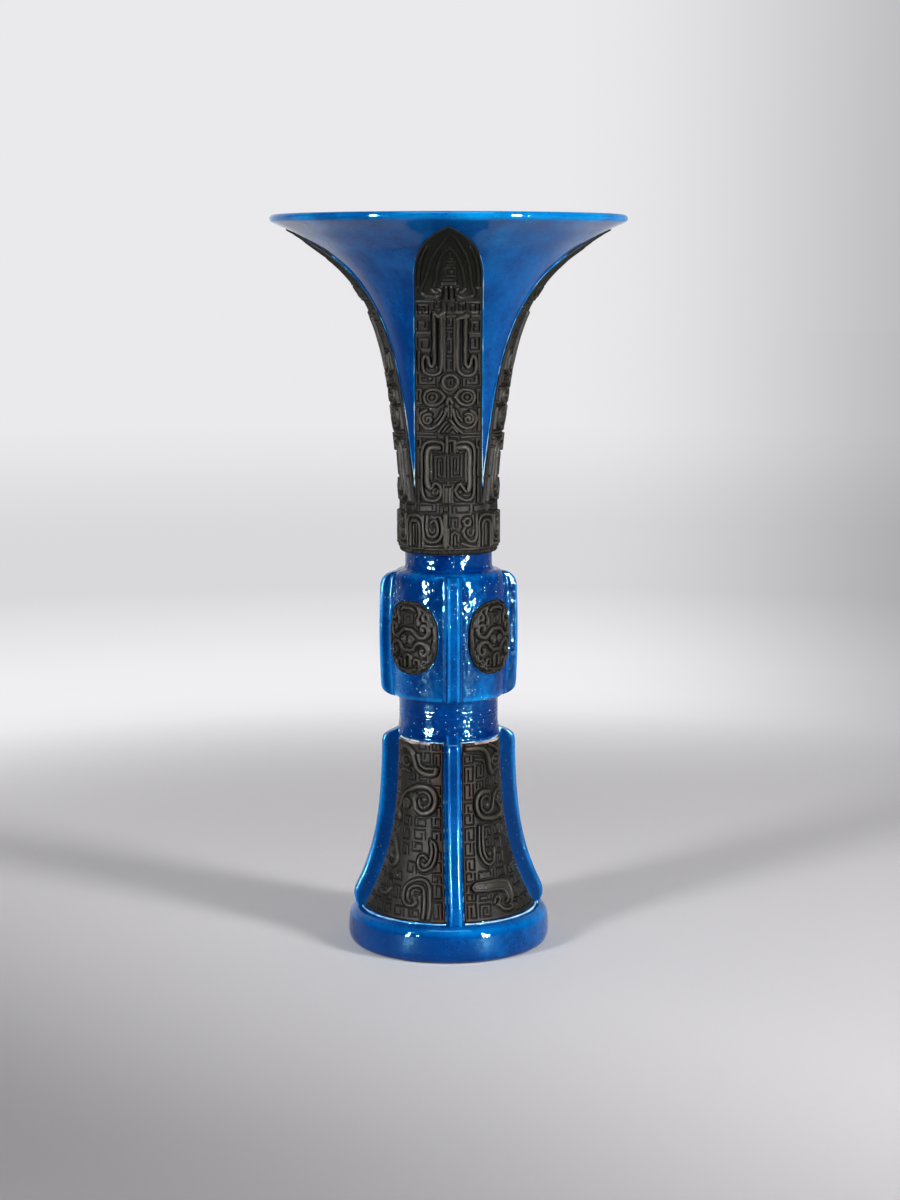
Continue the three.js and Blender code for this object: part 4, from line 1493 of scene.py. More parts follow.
@dataclass
class Bulb(Heights, Plate):
    """The bulb between the waist and the throat, with four flanges and four oval plates."""

    waist_radius: float = 19.1
    end_radius: float = 21.5
    belly_radius: float = 22.4
    throat_radius: float = 16.7
    waist_bore: float = 14.3
    bulb_bore: float = 17.3
    throat_bore: float = 12.1
    flange_height: float = 4.3
    oval_width: float = 11.4
    oval_height: float = 14.0
    fullness: float = 2.5
    waist_lines: tuple[float, ...] = (90.2, 91.6, 93.0)
    waist_line_depth: float = 0.09
    roll_radius: float = 0.34
    roll_gap: float = 0.3
    roll_seed: int = 40
    oval_columns: int = 122
    oval_rows: int = 146
    steps: int = 192
    fin: Fin = field(default_factory=Fin)

    @property
    def middle(self) -> float:
        """Height of the bulb's middle."""
        return (self.bulb_foot + self.bulb_top) / 2

    def belly(self) -> Line:
        """The outside between the bulb's rounded edges."""
        swell = (2 * self.belly_radius - self.end_radius, self.middle)
        return Line(bezier([(self.end_radius, self.bulb_foot), swell, (self.end_radius, self.bulb_top)], 60))

    def skin(self) -> Line:
        """The outside that the flanges stand on.

        Returns:
            The line from over the bulb's lower edge to the root of the throat.
        """
        belly = self.belly()
        keep = (belly.points[:, 1] > self.bulb_foot + 2.2) & (belly.points[:, 1] < self.bulb_top - 4.2)
        side = belly.points[keep]
        shoulder = bezier([tuple(side[-1]), (self.end_radius + 0.1, self.bulb_top - 0.4),
                           (self.end_radius - 3.6, self.bulb_top)], 14)[1:]
        return Line(np.vstack([side, shoulder]))

    def profile(self) -> Array:
        """The closed outline that the bulb is spun from.

        Returns:
            Points of radius and height.
        """
        foot, top = self.bulb_foot, self.bulb_top
        low = np.linspace(self.waist_joint, foot - 1.6, 60)
        line_cut = sum(bell_curve(low - z, 0.28) for z in self.waist_lines)
        waist = np.stack([self.waist_radius - self.waist_line_depth * line_cut, low], axis=1)
        ledge = bezier([(self.waist_radius, foot - 1.6), (self.waist_radius, foot),
                        (self.waist_radius + 1.5, foot + 0.1)], 8)[1:]
        edge = bezier([(self.end_radius - 1.5, foot + 0.1), (self.end_radius + 0.05, foot + 0.1),
                       (self.end_radius + 0.1, foot + 2.0)], 10)
        throat = bezier([(self.end_radius - 3.6, top), (self.throat_radius, top + 0.2),
                         (self.throat_radius, top + 2.2)], 10)[1:]
        rim = [(self.throat_radius, self.collar_foot + 0.2), (self.throat_bore, self.collar_foot + 0.2)]
        inner_top = bezier([(self.throat_bore, top - 2.0), (self.throat_bore, top - 4.2),
                            (self.bulb_bore, top - 4.2), (self.bulb_bore, top - 9.0)], 12)
        inner_foot = bezier([(self.bulb_bore, foot + 9.0), (self.bulb_bore, foot + 4.2),
                             (self.waist_bore, foot + 4.2), (self.waist_bore, foot)], 12)
        close = [(self.waist_bore, self.waist_joint)]
        return np.vstack([waist, ledge, edge, self.skin().points, throat, rim, inner_top, inner_foot, close])

    def oval_path(self, centre: float, belly: Line) -> tuple[Array, Array]:
        """The line where an oval plate meets the glaze.

        Args:
            centre: Angle of its middle from the front.
            belly: The bulb's outside.

        Returns:
            Points round the oval, and the directions out of the surface.
        """
        turn = np.linspace(0.0, FULL_TURN, 120, endpoint=False)
        aside = np.sign(np.cos(turn)) * np.abs(np.cos(turn)) ** (2 / self.fullness)
        up = np.sign(np.sin(turn)) * np.abs(np.sin(turn)) ** (2 / self.fullness)
        z = self.middle + (self.oval_height + self.roll_gap) * up
        radius = belly.radius_at(z) + ROLL_LIFT
        angle = np.arcsin((self.oval_width + self.roll_gap) * aside / radius) + centre
        return around(radius, angle, z), around(np.ones_like(z), angle, np.zeros_like(z))

    def build_body(self) -> Piece:
        """Spins the bulb and adds the rolls of glaze round its plates.

        Returns:
            The body.
        """
        belly = self.belly()
        bm = spun(self.profile(), self.steps)
        for i in range(4):
            path, out = self.oval_path(FLANGE_TURN + (i + 0.5) * QUARTER, belly)
            add_roll(bm, path, out, self.roll_radius, True, self.roll_seed + i)
        mesh = mesh_of("bulb_body", bm)
        _, _, z, radius = places_of(mesh)
        on_side = (z > self.bulb_foot + 3) & (z < self.bulb_top - 4)
        roll = proud(radius, belly.radius_at(z)) * on_side
        foot_edge = bell_curve(z - self.bulb_foot - 1.0, 1.1) * (radius > self.end_radius - 0.8)
        shoulder = bell_curve(z - self.bulb_top + 1.2, 1.4) * (radius > self.end_radius - 2.6)
        pool = ease((self.throat_radius + 1.2 - radius) / 1.0) + 0.7 * (z < self.bulb_foot - 0.5)
        lower = ease((self.bulb_foot + 18.0 - z) / 14.0) * (z > self.bulb_foot)
        thin_and_lit = 0.3 + 0.07 * (roll + lower) + 0.24 * foot_edge + 0.14 * shoulder - 0.12 * pool
        set_value(mesh, "thin_and_lit", thin_and_lit)
        return Piece("bulb_body", mesh, GLAZE)

    def build_flanges(self) -> list[Piece]:
        """Builds the flanges on the bulb.

        Returns:
            The four flanges.
        """
        high, line = self.flange_height, self.skin()
        top = line.arc_at(self.bulb_top - 5.0) + 1.0
        crest = [(-2.5, 0.0), (-2.0, 1.3), (-0.8, 3.1), (0.8, 4.1), (2.8, high), (8.0, high), (top / 2, high),
                 (top - 8.0, high), (top - 2.0, high), (top - 0.4, high - 0.5), (top + 0.9, high - 1.6),
                 (top + 2.0, high - 2.9), (top + 3.0, 0.3), (top + 3.6, 0.0)]
        made = self.fin.lay(line, crest, self.bulb_foot + 0.05)
        return self.fin.four("bulb_flange", made, (0.25, 0.37), 0.4)

    def design(self) -> list[Stroke]:
        """The drawing of an oval plate: volutes on both sides of a column of small spirals.

        Returns:
            The strokes.
        """
        half = [
            *softs(Pen.CURL,
                (0, 3.4, 1.6, 3.4, 3, 2.6, 4.2, 1.2, 6, 0.4, 7.8, 0.9, 8.8, 2.7, 8.4, 4.6, 7, 5.2, 6, 4.2,
                 6.4, 3.2),
                (0, -4.4, 1.6, -4.5, 3, -3.6, 4.2, -2, 6, -1.4, 7.8, -2.2, 8.6, -4.2, 8, -6, 6.6, -6.2,
                 5.8, -5.1, 6.4, -4.2)),
            *softs(Pen.RIDGE,
                (9.3, 4.8, 8.4, 7.2, 7.2, 7, 6.6, 8.4, 7.4, 9.6), (4.7, 11.6, 5.4, 9.4, 4.6, 7.4, 4.8, 5.2),
                (9, -6.4, 8.6, -8.6, 7, -8.2, 6.2, -9.8, 6.8, -10.8),
                (4.9, -11.8, 5.4, -9.8, 4.6, -8, 3.3, -8.2, 3.1, -9.5),
                (0, -6.2, 1, -6.6, 1.4, -7.8, 1.3, -10.6), (0.2, 11.6, 2, 11.4, 3.2, 10.6),
                (0.2, -12.2, 2.4, -12, 3.8, -11.6)),
            *softs(Pen.CUT,
                (9.9, 8.4, 10.3, 4, 9.7, 0.4, 10.3, -4.4, 9.7, -8.6), (8.4, 10.6, 5.6, 12.4, 2, 12.9),
                (8.2, -11, 5.6, -12.6, 2, -13)),
            coil(1.9, -0.3, 0.35, 1.5, 160, 1.3, Pen.RIDGE),
            *straights(Pen.SLOT, (0, -1.4, 0, 1.6)),
        ]
        turn = np.linspace(math.radians(94), math.radians(446), 60)
        sway = 1 + 0.02 * np.sin(9 * turn) + 0.012 * np.sin(17 * turn + 1.0)
        rim = Stroke(Pen.SEAM.value, tuple(zip(10.9 * sway * np.cos(turn), 13.5 * sway * np.sin(turn))))
        return [*half, *(stroke.mirrored() for stroke in half), rim, fret(-3, 4.8, 3, 10.2, False, 1.6)]

    def build_ovals(self) -> list[Piece]:
        """Lays one oval plate on the bulb and turns copies of it to the other corners.

        Returns:
            The four plates.
        """
        belly = self.belly()
        u = 2 * bordered(self.oval_columns)[None, :] - 1
        v = 2 * bordered(self.oval_rows)[:, None] - 1
        x = self.oval_width * u * (1 - np.abs(v) ** self.fullness / 2) ** (1 / self.fullness)
        y = self.oval_height * v * (1 - np.abs(u) ** self.fullness / 2) ** (1 / self.fullness)
        out = np.maximum(np.abs(u), np.abs(v)) + 0.0 * x
        inset = (1 - out) * self.oval_width
        relief = carve(x, y, self.design()) + 0.04 * ripple(x, y, GRAIN_CELL, GRAIN_SEED)
        z = self.middle + y
        radius = belly.radius_at(z) + self.lift(relief, inset)
        places = np.stack([x, -np.sqrt(radius**2 - x**2), z], axis=-1)
        bm = closed_patch(places, belly, PLATE_BACK, 5)
        mesh = mesh_of("bulb_medallion", bm, FLANGE_TURN + QUARTER / 2, None)
        warm = 0.5 * ease(1 - inset / 1.2) + 0.4 * ripple(x, y, 4.0, 8) - 0.25
        # Painted shade: the plate is stored a little darker overall to offset the extra light that falls on
        # the lower plates, and darker on its border walls, partly for the biscuit's dark body and partly for
        # shade.
        self.dress(mesh, relief - 0.1 - 0.4 * ease(1 - inset / 0.2), warm)
        return turned_copies(mesh, "bulb_medallion", CORNERS, BISCUIT)

    def build(self) -> list[Piece]:
        """Builds the body, the flanges and the oval plates."""
        return [self.build_body(), *self.build_flanges(), *self.build_ovals()]


class PanelDrawing(Enum):
    """The two drawings of the foot's panels."""

    BAR_TAIL = "bar_tail"
    LOOP_TAIL = "loop_tail"


@dataclass
class Foot(Heights, Plate):
    """The spreading foot bell with four flanges and four panels."""

    top_radius: float = 18.8
    foot_radius: float = 32.2
    waist_radius: float = 19.1
    waist_bore: float = 14.3
    wall: float = 4.2
    ledge: float = 1.5
    flange_height: float = 7.0
    margin: float = 3.8
    face: float = 1.7
    top_drop: float = 1.0
    column_width: float = 9.2
    roll_radius: float = 0.36
    roll_gap: float = 0.3
    roll_seed: int = 60
    columns: int = 186
    rows: int = 366
    steps: int = 192
    fin: Fin = field(default_factory=Fin)

    def bell(self) -> Line:
        """The outside of the bell.

        Returns:
            The line from the foot ring to the waist.
        """
        spread, rise = self.foot_radius - self.top_radius, self.bell_top - self.ring_top
        spring = (self.foot_radius - spread * 0.8, self.bell_foot + rise * 0.294)
        lean = (self.top_radius + spread * 0.03, self.bell_top - rise * 0.47)
        ends = (self.foot_radius, self.bell_foot), (self.top_radius, self.bell_top)
        return Line(bezier([ends[0], spring, lean, ends[1]], 120))

    def edge_path(self, bell: Line) -> tuple[Array, Array]:
        """The line round a panel where it meets the glaze.

        Args:
            bell: The bell's outside.

        Returns:
            Points round the panel of the front right quarter, and the directions out of the surface.
        """
        up, along = 110, 60
        s_up = np.linspace(0.9, bell.arc_at(self.bell_top - self.top_drop) + 0.2, up)
        level, run = np.ones(along)[1:-1], np.linspace(0, 1, along)[1:-1]
        s = np.concatenate([s_up, level * s_up[-1], s_up[::-1], level * s_up[0]])
        radius, z = bell.at(s, ROLL_LIFT)
        near = np.arcsin((self.margin - self.roll_gap) / radius)
        back = np.linspace(1, 0, along)[1:-1]
        share = np.concatenate([np.zeros(up), run, np.ones(up), back])
        angle = near + (QUARTER - 2 * near) * share
        out_r, out_z = bell.out_at(s)
        return around(radius, angle, z), around(out_r, angle, out_z)

    def build_body(self) -> Piece:
        """Spins the bell and adds the rolls of glaze round its panels.

        Returns:
            The body.
        """
        bell, top = self.bell(), self.bell_top
        inside = bell.points - np.array([self.wall, 0.0])
        brim = self.top_radius + self.ledge
        lip = bezier([(self.top_radius, top - 0.2), (brim, top - 0.2), (brim, top + 0.6)], 8)[1:]
        waist = bezier([(brim, top + 0.6), (self.waist_radius, top + 2.0),
                        (self.waist_radius, self.waist_joint)], 14)[1:]
        close = [(self.waist_bore, self.waist_joint)]
        foot = [(inside[0, 0], self.ring_top), (self.foot_radius, self.ring_top)]
        bm = spun(np.vstack([foot, bell.points, lip, waist, close, inside[::-3]]), self.steps)
        path, out = self.edge_path(bell)
        for i, turn in enumerate(quarter_turns()):
            add_roll(bm, path @ turn, out @ turn, self.roll_radius, True, self.roll_seed + i)
        mesh = mesh_of("foot_bell", bm, FLANGE_TURN)
        x, y, z, radius = places_of(mesh)
        roll = proud(radius, bell.radius_at(z)) * (z > self.bell_foot) * (z < top)
        ends = ease((18.5 - z) / 2.0) + 0.7 * ease((z - top + 3.0) / 2.0)
        spark = ease(0.5 + ripple(x - y, z, 1.3, 31))
        low = ease((30.0 - z) / 10.0)
        pale = 0.2 + (0.3 + 0.2 * low) * spark + ends * (0.3 + 0.2 * spark)
        set_value(mesh, "thin_and_lit", 0.3 + roll * pale - 0.1 * (z > top))
        return Piece("foot_bell", mesh, GLAZE)

    def build_flanges(self) -> list[Piece]:
        """Builds the flanges on the bell.

        Returns:
            The four flanges.
        """
        high, line = self.flange_height, self.bell()
        top = line.length
        crest = [(-2.9, 0.0), (-2.5, 1.3), (-1.8, 2.9), (-0.8, 4.3), (0.5, 5.6), (1.9, 6.4), (3.8, 6.9),
                 (6.0, high), (10.0, high), (top / 2, high), (top - 6.0, high), (top - 3.0, high),
                 (top - 1.0, high - 0.5), (top + 0.4, high - 2.2), (top + 1.6, high - 4.8), (top + 2.6, 0.4),
                 (top + 3.2, 0.0)]
        made = self.fin.lay(line, crest, self.ring_top - 3.0)
        return self.fin.four("foot_flange", made, (0.21, 0.34), 0.7)

    def column(self, levels: Sequence[float]) -> list[Stroke]:
        """The boxes of key fret beside a flange, between levels."""
        boxes = zip(levels[:-1], levels[1:])
        return [fret(4.3, low + 0.25, 8.7, high - 0.25, bool(i % 2)) for i, (low, high) in enumerate(boxes)]

    def bar_tail(self) -> list[Stroke]:
        """The dragon whose tail ends in a hooked bar.

        Returns:
            The strokes.
        """
        return [
            *softs(Pen.BAND,
                (5.4, 65.9, 9, 65.9, 12.4, 65.4, 14.7, 63.8, 15.8, 61, 16.6, 57.6, 17.8, 55.4),
                (15.2, 48.6, 12.4, 48.7, 10.2, 47, 9.5, 44, 10.3, 41, 12.4, 39, 15.4, 38.4, 19, 38,
                 22.4, 38.6)),
            *softs(Pen.CUT,
                (5.8, 64, 9.4, 63.6, 12.4, 62.8, 14.1, 60.6, 15, 57.4, 16.2, 55),
                (8.9, 41.6, 9.8, 38.8, 12, 37.2, 15, 36.6, 19, 36.2),
                (9.6, 27, 10, 24.2, 11.4, 21.3, 13.8, 19.7, 16.6, 19.5),
                (8.2, 10.5, 12, 10.3, 17.2, 10.2, 20.4, 9.6, 22, 8.2)),
            *straights(Pen.THREAD, (5.2, 67.6, 16, 67.4), (9.2, 61.6, 12.4, 61, 13.6, 59.8)),
            *each(fret,
                (9.5, 53.8, 13.9, 59.5, True), (9.6, 50, 13.4, 53.2), (14.2, 50.2, 17.8, 54.2, True),
                (18.6, 50.4, 22.6, 54.6), (13.3, 31.5, 17.5, 35.5), (13.3, 27, 17.2, 30.7, True),
                (18.5, 31.2, 22.9, 35.4, True), (18.7, 25.8, 23, 30.2), (18.9, 20.4, 23.6, 24.9),
                (9.7, 15.2, 17.6, 18.9, True), (18.4, 15.4, 24.4, 19.2), (9.6, 1.3, 15.2, 6.6),
                (9.7, 7.4, 15.6, 9.9, True)),
            ring(20.6, 60.2, 2.9, 2, Pen.RIDGE),
            *each(boss, (20.6, 60.2, 1.15), (14.7, 43.5, 1.5), (15.4, 24.9, 1.25)),
            *softs(Pen.RIDGE,
                (16.6, 66.6, 19.4, 65.4, 22.2, 63.6, 24.6, 62.4), (18.4, 55.8, 20.6, 56.8, 23.6, 57.2),
                (24.6, 48.4, 21.2, 48.2, 18.9, 46.9, 18.3, 44, 17.5, 41.6, 15.2, 40.5, 12.8, 41.3,
                 11.7, 43.6, 12.2, 46, 14, 46.9, 15.8, 46), (20.4, 44.6, 22.6, 42.6, 24.4, 40),
                (10.6, 35.6, 10.6, 28.4, 11.2, 24.8, 12.8, 22.1, 15.2, 20.8, 17, 21.5, 17.8, 23.8,
                 17.9, 26.4), (12.3, 35.6, 12.3, 28, 12.9, 25, 14.3, 22.9, 15.8, 22.7),
                (8, 11.6, 7.2, 12.7, 8.4, 14.1, 13, 14.4, 18.4, 14.4, 22.6, 13.6, 25.2, 11.8, 26.2, 9.2,
                 26, 6.4, 24.8, 4.6), (8, 11.6, 12, 11.3, 17.6, 11.2, 21, 10.6, 23.2, 9, 23.8, 7, 22.8, 5.9),
                (16.6, 6.4, 17.2, 8, 18.7, 8.4, 19.3, 7.2, 18.4, 5.6, 19.9, 3.9, 22.6, 2.9, 25.4, 3)),
            coil(23.4, 44.6, 0.4, 1.7, 40, 1.3, Pen.THREAD),
            *softs(Pen.SLAB, (9, 12.9, 13, 12.9, 18.4, 12.8, 22, 12, 24.4, 10, 25, 7.6)),
            *self.column((0.9, 7.4, 11.0, 14.6, 19.0, 24.4, 30.2, 36.0, 41.0, 45.6, 52.6, 59.6, 63.6)),
            *self.outer_fill(),
        ]

    def loop_tail(self) -> list[Stroke]:
        """The dragon whose tail ends in a loop on a stem.

        Returns:
            The strokes.
        """
        return [
            *each(fret,
                (4.3, 59.6, 8, 64.6), (8.6, 60, 13.2, 64.6, True), (4.4, 65.2, 8.4, 68.2, True),
                (9, 65.2, 14.4, 68.2), (8.8, 52.9, 14, 55.3), (15.2, 52.8, 19.4, 56.4, True),
                (10.6, 35.6, 16.4, 39, True), (17.4, 35.4, 22, 39.6), (10.8, 30.7, 16.6, 34.9),
                (12.2, 26, 17.6, 29.9, True), (18.4, 30, 22.8, 34.4, True), (18.6, 24.4, 22.6, 28.8),
                (14.9, 17.9, 19.7, 22.4), (14.2, 1.3, 19, 4.6, True), (22.4, 7.6, 26.8, 12.8),
                (20.6, 1.3, 25.6, 5.4), (21.8, 14.2, 26.6, 18, True)),
            *softs(Pen.BAND,
                (6.4, 58.2, 6.8, 56.6, 9.4, 56, 12.6, 56.7, 15, 58.5, 16.2, 61.4, 17.6, 64.4, 20.6, 65.8,
                 23.8, 65),
                (17.4, 49.6, 13.6, 51, 10.4, 51.2, 7.8, 49.6, 6.8, 46.6, 7.4, 43.6, 9.6, 41.4, 12.4, 40.9,
                 14.9, 42.2, 15.9, 45, 15.4, 47.6)),
            *softs(Pen.RIDGE,
                (7.6, 58.4, 11.4, 58.6, 13.4, 60.2, 14.4, 63.2), (18.6, 56.4, 21, 57, 23.6, 56.4),
                (13.6, 48.4, 11.4, 49.2, 9.4, 48.2, 8.8, 46, 9.8, 43.9, 11.8, 43.1, 13.5, 44.2, 13.6, 46),
                (17.4, 49.6, 20.4, 48, 22.8, 45.4, 24, 42),
                (8.6, 31, 7.2, 29.6, 6.8, 26.4, 7.5, 23, 9.3, 20.4, 11.9, 19.3, 13.8, 20.4, 14.3, 22.4,
                 13.3, 24.4, 11.5, 25, 10.3, 24), (8.8, 30, 8.5, 26.2, 9.3, 22.9, 11.1, 21.2, 12.4, 21.9),
                (26.6, 29.4, 25.5, 26.2, 24.6, 23.4, 25.5, 20.6, 28, 19.2, 30.6, 20.2, 31.2, 23, 29.8, 25.2),
                (10.6, 1.3, 9.8, 5, 9.5, 10, 9.7, 13.6, 11, 15.5, 13.8, 15.8, 17.4, 14.5, 20.1, 12, 21, 9,
                 20.5, 6.7, 18.7, 5.5, 16.5, 5.8, 15.3, 7.2, 15.9, 8.4),
                (12.6, 1.4, 12, 5, 11.8, 10.4, 12.4, 12.9, 14.6, 13.5, 17.1, 12.6, 18.8, 10.6, 19, 8.7,
                 17.9, 7.4), (27.4, 10.8, 30, 8.6, 33.4, 8)),
            ring(20, 60.6, 2.5, 2.1, Pen.RIDGE),
            *each(boss, (20, 60.6, 1.15), (11.5, 46.2, 1.2), (11.8, 23.2, 0.9), (28.2, 22.8, 1.2)),
            *softs(Pen.SLOT, (17.6, 62, 17.2, 60, 18.2, 57.2)),
            *straights(Pen.CUT, (8.4, 52.5, 16.2, 52.3)),
            *softs(Pen.CUT,
                (6.2, 43, 8.2, 40.4, 11, 39.3, 15.6, 39.4), (6.3, 22.8, 8.2, 19.4, 11.4, 18, 14.2, 18.6)),
            coil(20, 43.6, 0.4, 2.2, 20, 1.4, Pen.RIDGE),
            *softs(Pen.THREAD, (13.4, 11.6, 15.6, 11.8, 17, 10.7, 16.6, 9.3, 15.4, 8.9)),
            *straights(Pen.SLOT, (13.4, 10.5, 15.6, 10.3)),
            *self.column((0.9, 8.4, 14.6, 18.2, 23.2, 27.4)),
            *self.column((30.6, 35.2, 39.8, 44.2, 48.0, 52.4)),
            *self.outer_fill(),
        ]

    def outer_fill(self) -> list[Stroke]:
        """Key frets and a scroll over the far part of a panel.

        Returns:
            The strokes.
        """
        wide, high = 4.8, 4.6
        boxes = [fret(27.0 + wide * i, 1.3 + high * j, 31.2 + wide * i, 5.3 + high * j, bool((i + j) % 2))
                 for i in range(3) for j in range(4) if i < 3 - j // 2]
        return [*boxes, fret(24.2, 31.0, 28.2, 35.2), coil(25.4, 38.6, 0.4, 1.9, 90, 1.4)]

    def build_panel(self, drawing: PanelDrawing) -> Mesh:
        """Lays a panel on the front right quarter of the bell.

        Args:
            drawing: The drawing that it carries; a loop tail is mirrored to the front left quarter.

        Returns:
            The panel's mesh.
        """
        bell = self.bell()
        face = bell.offset(self.face)
        top, low = face.arc_at(self.bell_top - self.top_drop), face.arc_at(self.bell_foot + 0.6)
        s = (low + (top - low) * bordered(self.rows))[:, None]
        skin = face.at(s)[0]
        near = np.arcsin(self.margin / skin)
        angle = near + (QUARTER - 2 * near) * bordered(self.columns)[None, :]
        x, s_all = angle * skin, s + 0.0 * angle
        far = QUARTER * skin - x
        inset = np.minimum(np.minimum(x - near * skin, far - near * skin), np.minimum(s - low, top - s))
        plain = drawing is PanelDrawing.BAR_TAIL
        away = 99.0
        inner = carve(np.where(far > self.column_width, x, away), s_all,
                      self.bar_tail() if plain else self.loop_tail())
        outer = carve(far, s_all, self.column(tuple(np.linspace(1.0, 67.6, 14))))
        relief = np.where(np.abs(outer) > 1e-6, outer, inner)
        relief = relief + 0.05 * ripple(x, s_all, GRAIN_CELL, GRAIN_SEED)
        radius, height = face.at(s_all, self.lift(relief, inset) - self.face)
        places = around(radius, angle if plain else -angle, height)
        bm = closed_patch(places, bell, PLATE_BACK, 7)
        mesh = mesh_of(f"foot_panel_{drawing.value}", bm, FLANGE_TURN, None)
        warm = 1.2 * ease(1.5 - np.minimum(x, far) / 7.5) + 0.3 * ripple(x, s_all, 6.0, 12) - 0.25
        patch = ease(0.6 + 1.5 * ripple(x, 0.0 * x, 6.5, 15))
        warm = warm + 2.4 * patch * ease(1.2 - (top - s_all) / 1.5)
        # Painted shade: the panel is stored a little darker overall to offset the extra light that falls on
        # the lower plates, and darker on its border walls, partly for the biscuit's dark body and partly for
        # shade.
        self.dress(mesh, relief - 0.06 - 0.5 * ease(1 - inset / 0.2), warm)
        return mesh

    def build_panels(self) -> list[Piece]:
        """Builds the two drawings and sets each of them on two opposite quarters.

        Returns:
            The four panels.
        """
        bar = self.build_panel(PanelDrawing.BAR_TAIL)
        loop = self.build_panel(PanelDrawing.LOOP_TAIL)
        return [*turned_copies(bar, "foot_panel", {"front_right": 0, "back_left": 2}, BISCUIT),
                *turned_copies(loop, "foot_panel", {"front_left": 0, "back_right": 2}, BISCUIT)]

    def build(self) -> list[Piece]:
        """Builds the body, the flanges and the panels."""
        return [self.build_body(), *self.build_flanges(), *self.build_panels()]


@dataclass
class Base(Heights):
    """The thick foot ring and the bare disc inside it."""

    ring_radius: float = 39.1
    bore: float = 29.0
    seat: float = 31.0
    disc_thickness: float = 4.0
    line_radius: float = 33.95
    line_margin: float = 3.6
    line_size: float = 0.38
    line_seed: int = 80
    steps: int = 192
    disc_steps: int = 128

    def build_ring(self) -> Piece:
        """Spins the foot ring and adds the pale lines under the panels.

        Returns:
            The ring.
        """
        wide, top, ledge = self.ring_radius, self.ring_top, self.ring_top - self.disc_thickness
        corner = (wide - 0.35, top - 3.8)
        outside = [bezier([(wide - 3.4, 0.0), (wide, 0.0), (wide, top * 0.35)], 14),
                   bezier([(wide, top * 0.35), (wide, top * 0.5), corner], 8)[1:],
                   bezier([corner, (wide - 0.9, top - 0.2), (wide - 4.5, top)], 16)[1:]]
        bore = [(self.seat, top), (self.seat, ledge), (self.bore, ledge), (self.bore, 1.0),
                (self.bore + 0.3, 0.3), (self.bore + 1.0, 0.0)]
        bm = spun(np.vstack([*outside, bore]), self.steps)
        aside, count = math.asin(self.line_margin / self.line_radius), 70
        for i in range(4):
            angle = np.linspace(aside, QUARTER - aside, count) + i * QUARTER + FLANGE_TURN
            path = around(np.full(count, self.line_radius), angle, np.full(count, top + 0.2))
            upwards = around(np.zeros(count), angle, np.ones(count))
            add_roll(bm, path, upwards, self.line_size, False, self.line_seed + i)
        mesh = mesh_of("foot_ring", bm)
        x, _, z, radius = places_of(mesh)
        shoulder = bell_curve(z - top + 1.6, 1.8) * (radius > wide - 4.4)
        inner = ease((wide - 4.8 - radius) / 1.2)
        line = (z > top + 0.02) * 0.58
        # Painted light: right and ends make the ring lighter towards the right and at its two sides, where
        # the lamps fall.
        right, ends = ease(0.5 + x / 50.0), ease(np.abs(x) / 20.0 - 0.6)
        pool = 0.12 * ease((3.0 - z) / 3.0)
        set_value(mesh, "thin_and_lit",
                  0.24 + 0.04 * right + 0.06 * ends + 0.18 * shoulder + 0.14 * inner - pool + line)
        set_value(mesh, "calm", np.full(len(z), 0.85))
        return Piece("foot_ring", mesh, GLAZE)

    def build_disc(self) -> Piece:
        """Spins the disc, with turned rings on its underside.

        Returns:
            The disc.
        """
        edge, foot, axis = self.seat - 0.1, self.ring_top - self.disc_thickness, 0.02
        r = np.linspace(axis, edge - 0.8, 70)
        under = foot + 0.16 * np.sin(r * 1.9) * ease((edge - r) / 3.0) + 0.5 * ease(1 - r / 22.0)
        rim = [(edge - 0.2, foot + 0.1), (edge, foot + 0.7), (edge, self.ring_top), (axis, self.ring_top)]
        bm = spun(np.vstack([np.stack([r, under], axis=1), rim]), self.disc_steps)
        return Piece("base_disc", mesh_of("base_disc", bm), CLAY)

    def build(self) -> list[Piece]:
        """Builds the ring and the disc."""
        return [self.build_ring(), self.build_disc()]


# Studio


@dataclass(frozen=True)
class Lamp:
    """A soft box that looks at the vase. Sizes are in metres.

    A glint lamp shows only as a reflection; the others light the scene without one.
    """

    name: str
    azimuth: float
    size: tuple[float, float]
    height: float
    reach: float
    power: float
    glint: bool = False

    def hang(self) -> None:
        """Puts the lamp into the scene, at its angle from the front towards the right."""
        lamp = bpy.data.lights.new(self.name, "AREA")
        lamp.shape, lamp.size, lamp.size_y, lamp.energy = "RECTANGLE", *self.size, self.power
        thing = bpy.data.objects.new(self.name, lamp)
        turn = math.radians(self.azimuth)
        thing.location = (self.reach * math.sin(turn), -self.reach * math.cos(turn), self.height)
        thing.rotation_euler = (Vector((0, 0, 0.15)) - thing.location).to_track_quat("-Z", "Y").to_euler()
        thing.visible_camera = False
        thing.visible_diffuse = not self.glint
        thing.visible_glossy = self.glint
        bpy.context.scene.collection.objects.link(thing)


LAMPS = (
    Lamp("left_box", -46.0, (0.2, 0.5), 0.55, 1.1, 10.4),
    Lamp("right_box", 54.0, (0.2, 0.5), 0.55, 1.1, 13.5),
    Lamp("left_strip", -46.0, (0.085, 0.5), 0.3, 1.0, 115.0, True),
    Lamp("right_strip", 42.0, (0.095, 0.5), 0.3, 1.0, 130.0, True),
    Lamp("top_strip", 0.0, (0.7, 0.2), 1.2, 0.35, 8.0, True),
)


